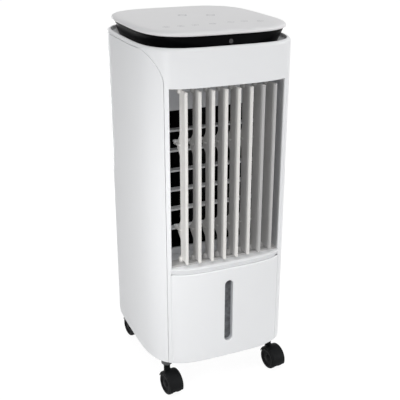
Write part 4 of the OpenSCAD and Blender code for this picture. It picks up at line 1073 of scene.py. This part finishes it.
class COOLER_OT_castors(bpy.types.Operator):
    """Build the four castors: a hood on a flared neck over a pair of round-edged wheels"""

    bl_idname = "cooler.castors"
    bl_label = "Castors"

    def half_ring(self, centre, across, outer, inner):
        """Closed section of (distance across, radius) pairs, out along one face and back along the other,
        carried half a turn about the axle; the end rows close on the section's middle line."""
        ahead = np.cross((0, 0, 1), across)
        section = np.concatenate([outer, inner[::-1]])
        middle = (outer + inner) / 2
        middle = np.concatenate([middle, middle[::-1]])
        angle = np.radians(np.concatenate([[18], np.linspace(18, 198, 41), [198]]))[:, None, None]
        shrink = np.ones_like(angle)
        shrink[[0, -1]] = 0
        x, r = np.split(middle + (section - middle) * shrink, 2, -1)
        points = centre + x * across + r * (np.cos(angle) * ahead + np.sin(angle) * np.array((0, 0, 1)))
        return round_grid(points)

    def neck(self, sizes, stem, centre, hood, top, stem_top):
        """Round neck that grows out of the hood with a small fillet, flares under the washer and runs on
        as the stem; its foot follows the hood."""
        angle = np.linspace(0, 2 * math.pi, 32, endpoint=False)
        share = np.linspace(0, 1, 13)[:, None]
        flare = np.clip(3.2 * share - 2.2, 0, 1)
        r = (5.2 + 1.4 * np.clip(1 - 4 * share, 0, 1) ** 2 + 1.8 * flare ** 2 * (3 - 2 * flare)) * MM
        side = np.stack([np.cos(angle), np.sin(angle)], -1)
        trail = np.array(stem[:2]) - centre[:2]
        away = (trail + r[0] * side) @ trail / math.hypot(*trail)
        foot = centre[2] + np.sqrt(hood ** 2 - np.clip(np.abs(away), 0, 0.999 * hood) ** 2)
        z = foot + (top - foot) * share
        middle = centre[2] + math.sqrt(hood ** 2 - trail @ trail)
        stem_z = np.array([[top], [stem_top], [stem_top]]) + 0 * foot
        z = np.concatenate([np.full((1, 32), middle), z, stem_z])
        r = np.concatenate([[[0]], r, [[sizes.stem], [sizes.stem], [0]]])
        xy = np.array(stem[:2]) + r[..., None] * side
        points = np.concatenate([xy, z[..., None]], -1)
        return round_grid(points)

    def wheel(self, sizes, centre, across, radius):
        """Disc with a round tread edge on both sides, and a dish with a hub in its outer face."""
        inner, outer = 3.5 * MM, sizes.castor_half
        rim = np.radians(np.linspace(0, 90, 7))
        near, far = 1.8 * MM, 3.2 * MM
        profile = [(0, inner)]
        profile += [(radius - near + near * math.sin(t), inner + near - near * math.cos(t)) for t in rim]
        profile += [(radius - far + far * math.cos(t), outer - far + far * math.sin(t)) for t in rim]
        dish = ((13.6, 0), (13.1, 0.3), (12.7, 1.6), (12.1, 2.0), (6.2, 2.0), (5.6, 1.7), (5.4, 0.4),
                (5.0, 0), (0, 0))
        profile += [(a * MM, outer - b * MM) for a, b in dish]
        return lathe(centre, across, profile, 64)

    def hood_face(self, sizes, hood, depth):
        """Section of the hood at a depth under its face: round shoulder, flat top and round shoulder."""
        half, bend = sizes.castor_half, 2.2 * MM
        turn = np.radians(np.linspace(0, 90, 9))
        x = half - bend + (bend - depth) * np.cos(turn)
        r = hood - bend + (bend - depth) * np.sin(turn)
        return np.stack([np.append(x, -x[::-1]), np.append(r, r[::-1])], -1)

    def execute(self, context):
        sizes = context.scene.cooler_sizes
        web = np.array([[3.0, 20.2], [-3.0, 20.2]]) * MM
        disc = np.array([(0, -3.0), (15.1, -3.0), (15.5, -2.6), (15.5, 2.6), (15.1, 3.0), (0, 3.0)]) * MM
        axle = np.array([(0, -10), (2.5, -10), (2.5, 10), (0, 10)]) * MM
        for k, name in enumerate(("front_left", "front_right", "rear_left", "rear_right"), 1):
            roll, stem = JOINTS[f"roll_{name}"], JOINTS[f"swivel_{name}"]["pos_m"]
            centre, across = np.array(roll["pos_m"]), np.array(roll["axis"])
            radius = centre[2]
            hood = radius + sizes.hood_gap
            faces = [self.hood_face(sizes, hood, depth) for depth in (0, sizes.hood_wall)]
            fork = [self.half_ring(centre, across, *faces),
                    self.half_ring(centre, across, web, web - np.array([0, 8 * MM])),
                    lathe(centre, across, disc, 48),
                    self.neck(sizes, stem, centre, hood - sizes.seam,
                              low("caster_washers").z - sizes.seam, high(f"caster_fork_{k}").z)]
            add_piece(f"hood_{k}", fork, f"caster_{name}", moulded("caster_black"), "caster",
                      f"caster_fork_{k}")
            wheels = [self.wheel(sizes, centre, across, radius), self.wheel(sizes, centre, -across, radius),
                      lathe(centre, across, axle)]
            add_piece(f"twin_wheel_{k}", wheels, f"wheels_{name}", moulded("tread_black"), "wheel",
                      f"caster_wheels_{k}")
        return {"FINISHED"}


class COOLER_OT_stage(bpy.types.Operator):
    """Set the pale floor, soft studio light and the camera"""

    bl_idname = "cooler.stage"
    bl_label = "Stage and camera"

    def seen_ray(self, tree):
        """1 for rays that come from the camera, a mirror or clear material."""
        path = add_node(tree, "LightPath").outputs
        mirror = calculate(tree, "MAXIMUM", path["Is Camera Ray"], path["Is Glossy Ray"])
        return calculate(tree, "MAXIMUM", mirror, path["Is Transmission Ray"])

    def show(self, tree, output, share, first, second):
        """Mixes two shaders by a share and shows them."""
        mix = add_node(tree, "MixShader", {"Fac": share, 1: first.outputs[0], 2: second.outputs[0]})
        feed(tree, tree.nodes[output], {"Surface": mix.outputs[0]})

    def floor(self):
        """Level square in a few cells, pale, whose shadow shows softly."""
        side = np.linspace(-15, 15, 3)
        x, y = np.meshgrid(side, side)
        floor = put_piece("floor", [(spread(x, y, 0.0), grid_faces(3, 3))])
        material, tree, shader = start_material("pale_floor")
        feed(tree, shader, {"Base Color": (0.7, 0.7, 0.7, 1), "Roughness": 0.9, "Specular IOR Level": 0.0})
        glow = add_node(tree, "Emission", {"Strength": 1.16})
        share = calculate(tree, "MULTIPLY", self.seen_ray(tree), 0.8)
        self.show(tree, "Material Output", share, shader, glow)
        floor.data.materials.append(material)

    def world(self, scene):
        """Even dim light, white where it is seen."""
        world = bpy.data.worlds.new("studio")
        world.use_nodes = True
        tree = world.node_tree
        fill = tree.nodes["Background"]
        feed(tree, fill, {"Color": (0.97, 0.985, 1.0, 1), "Strength": 0.25})
        white = add_node(tree, "Background", {"Color": (1, 1, 1, 1)})
        self.show(tree, "World Output", self.seen_ray(tree), fill, white)
        scene.world = world

    def sun(self, name, towards, strength, spread):
        """Soft light from a direction."""
        light = bpy.data.lights.new(name, "SUN")
        light.angle = math.radians(spread)
        self.hang(light, strength, (0, 0, 0), towards)

    def softbox(self, name, place, strength, wide, high):
        """Upright light panel that faces the middle of the cabinet."""
        light = bpy.data.lights.new(name, "AREA")
        light.shape = "RECTANGLE"
        light.size, light.size_y = wide, high
        self.hang(light, strength, place, Vector(place) - Vector((0, 0, 0.3)))

    def hang(self, light, strength, place, towards):
        """Puts a light in its place, shining from a direction."""
        light.energy = strength
        lamp = bpy.data.objects.new(light.name, light)
        lamp.location = place
        lamp.rotation_mode = "QUATERNION"
        lamp.rotation_quaternion = Vector(towards).to_track_quat("Z", "Y")
        bpy.context.scene.collection.objects.link(lamp)

    def execute(self, context):
        scene = context.scene
        self.floor()
        self.world(scene)
        self.softbox("left_light", (-0.40, -0.36, 0.32), 0.97, 0.04, 0.5)
        self.softbox("front_light", (0.62, -0.95, 0.40), 1.2, 0.4, 0.6)
        self.sun("top_light", (-0.15, -0.34, 0.93), 1.15, 40)
        self.sun("right_light", (0.90, -0.40, 0.17), 1.35, 40)
        self.softbox("rear_light", (0, 0.9, 0.3), 2.2, 0.2, 0.5)
        camera = bpy.data.objects.new("camera", bpy.data.cameras.new("camera"))
        camera.data.lens = 66.64
        camera.data.sensor_width = 36
        camera.location = (-0.4420, -1.0523, 0.7399)
        camera.rotation_mode = "QUATERNION"
        camera.rotation_quaternion = Vector((0.3641, 0.8535, -0.3729)).to_track_quat("-Z", "Y")
        scene.collection.objects.link(camera)
        scene.camera = camera
        scene.view_settings.view_transform = "Standard"
        return {"FINISHED"}


class COOLER_PT_panel(bpy.types.Panel):
    """Shows the cooler's sizes, finishes and building steps"""

    bl_idname = "COOLER_PT_panel"
    bl_label = "Air cooler"
    bl_space_type = "VIEW_3D"
    bl_region_type = "UI"
    bl_category = "Cooler"

    def draw(self, context):
        for group in (context.scene.cooler_sizes, context.scene.cooler_finishes):
            column = self.layout.column(align=True)
            for name in group.__annotations__:
                column.prop(group, name)
        for operator in OPERATORS:
            self.layout.operator(operator.bl_idname)


OPERATORS = (COOLER_OT_stage, COOLER_OT_front, COOLER_OT_sides, COOLER_OT_lower_panel, COOLER_OT_top,
             COOLER_OT_louvres, COOLER_OT_inside, COOLER_OT_rear, COOLER_OT_castors)
CLASSES = (CoolerSizes, CoolerFinishes, *OPERATORS, COOLER_PT_panel)


def register():
    for cls in CLASSES:
        bpy.utils.register_class(cls)
    bpy.types.Scene.cooler_sizes = bpy.props.PointerProperty(type=CoolerSizes)
    bpy.types.Scene.cooler_finishes = bpy.props.PointerProperty(type=CoolerFinishes)


def unregister():
    del bpy.types.Scene.cooler_finishes
    del bpy.types.Scene.cooler_sizes
    for cls in reversed(CLASSES):
        bpy.utils.unregister_class(cls)


def main():
    """Registers the classes and builds every piece in order."""
    register()
    for operator in OPERATORS:
        getattr(bpy.ops.cooler, operator.bl_idname.split(".")[1])()


if __name__ == "__main__":
    main()
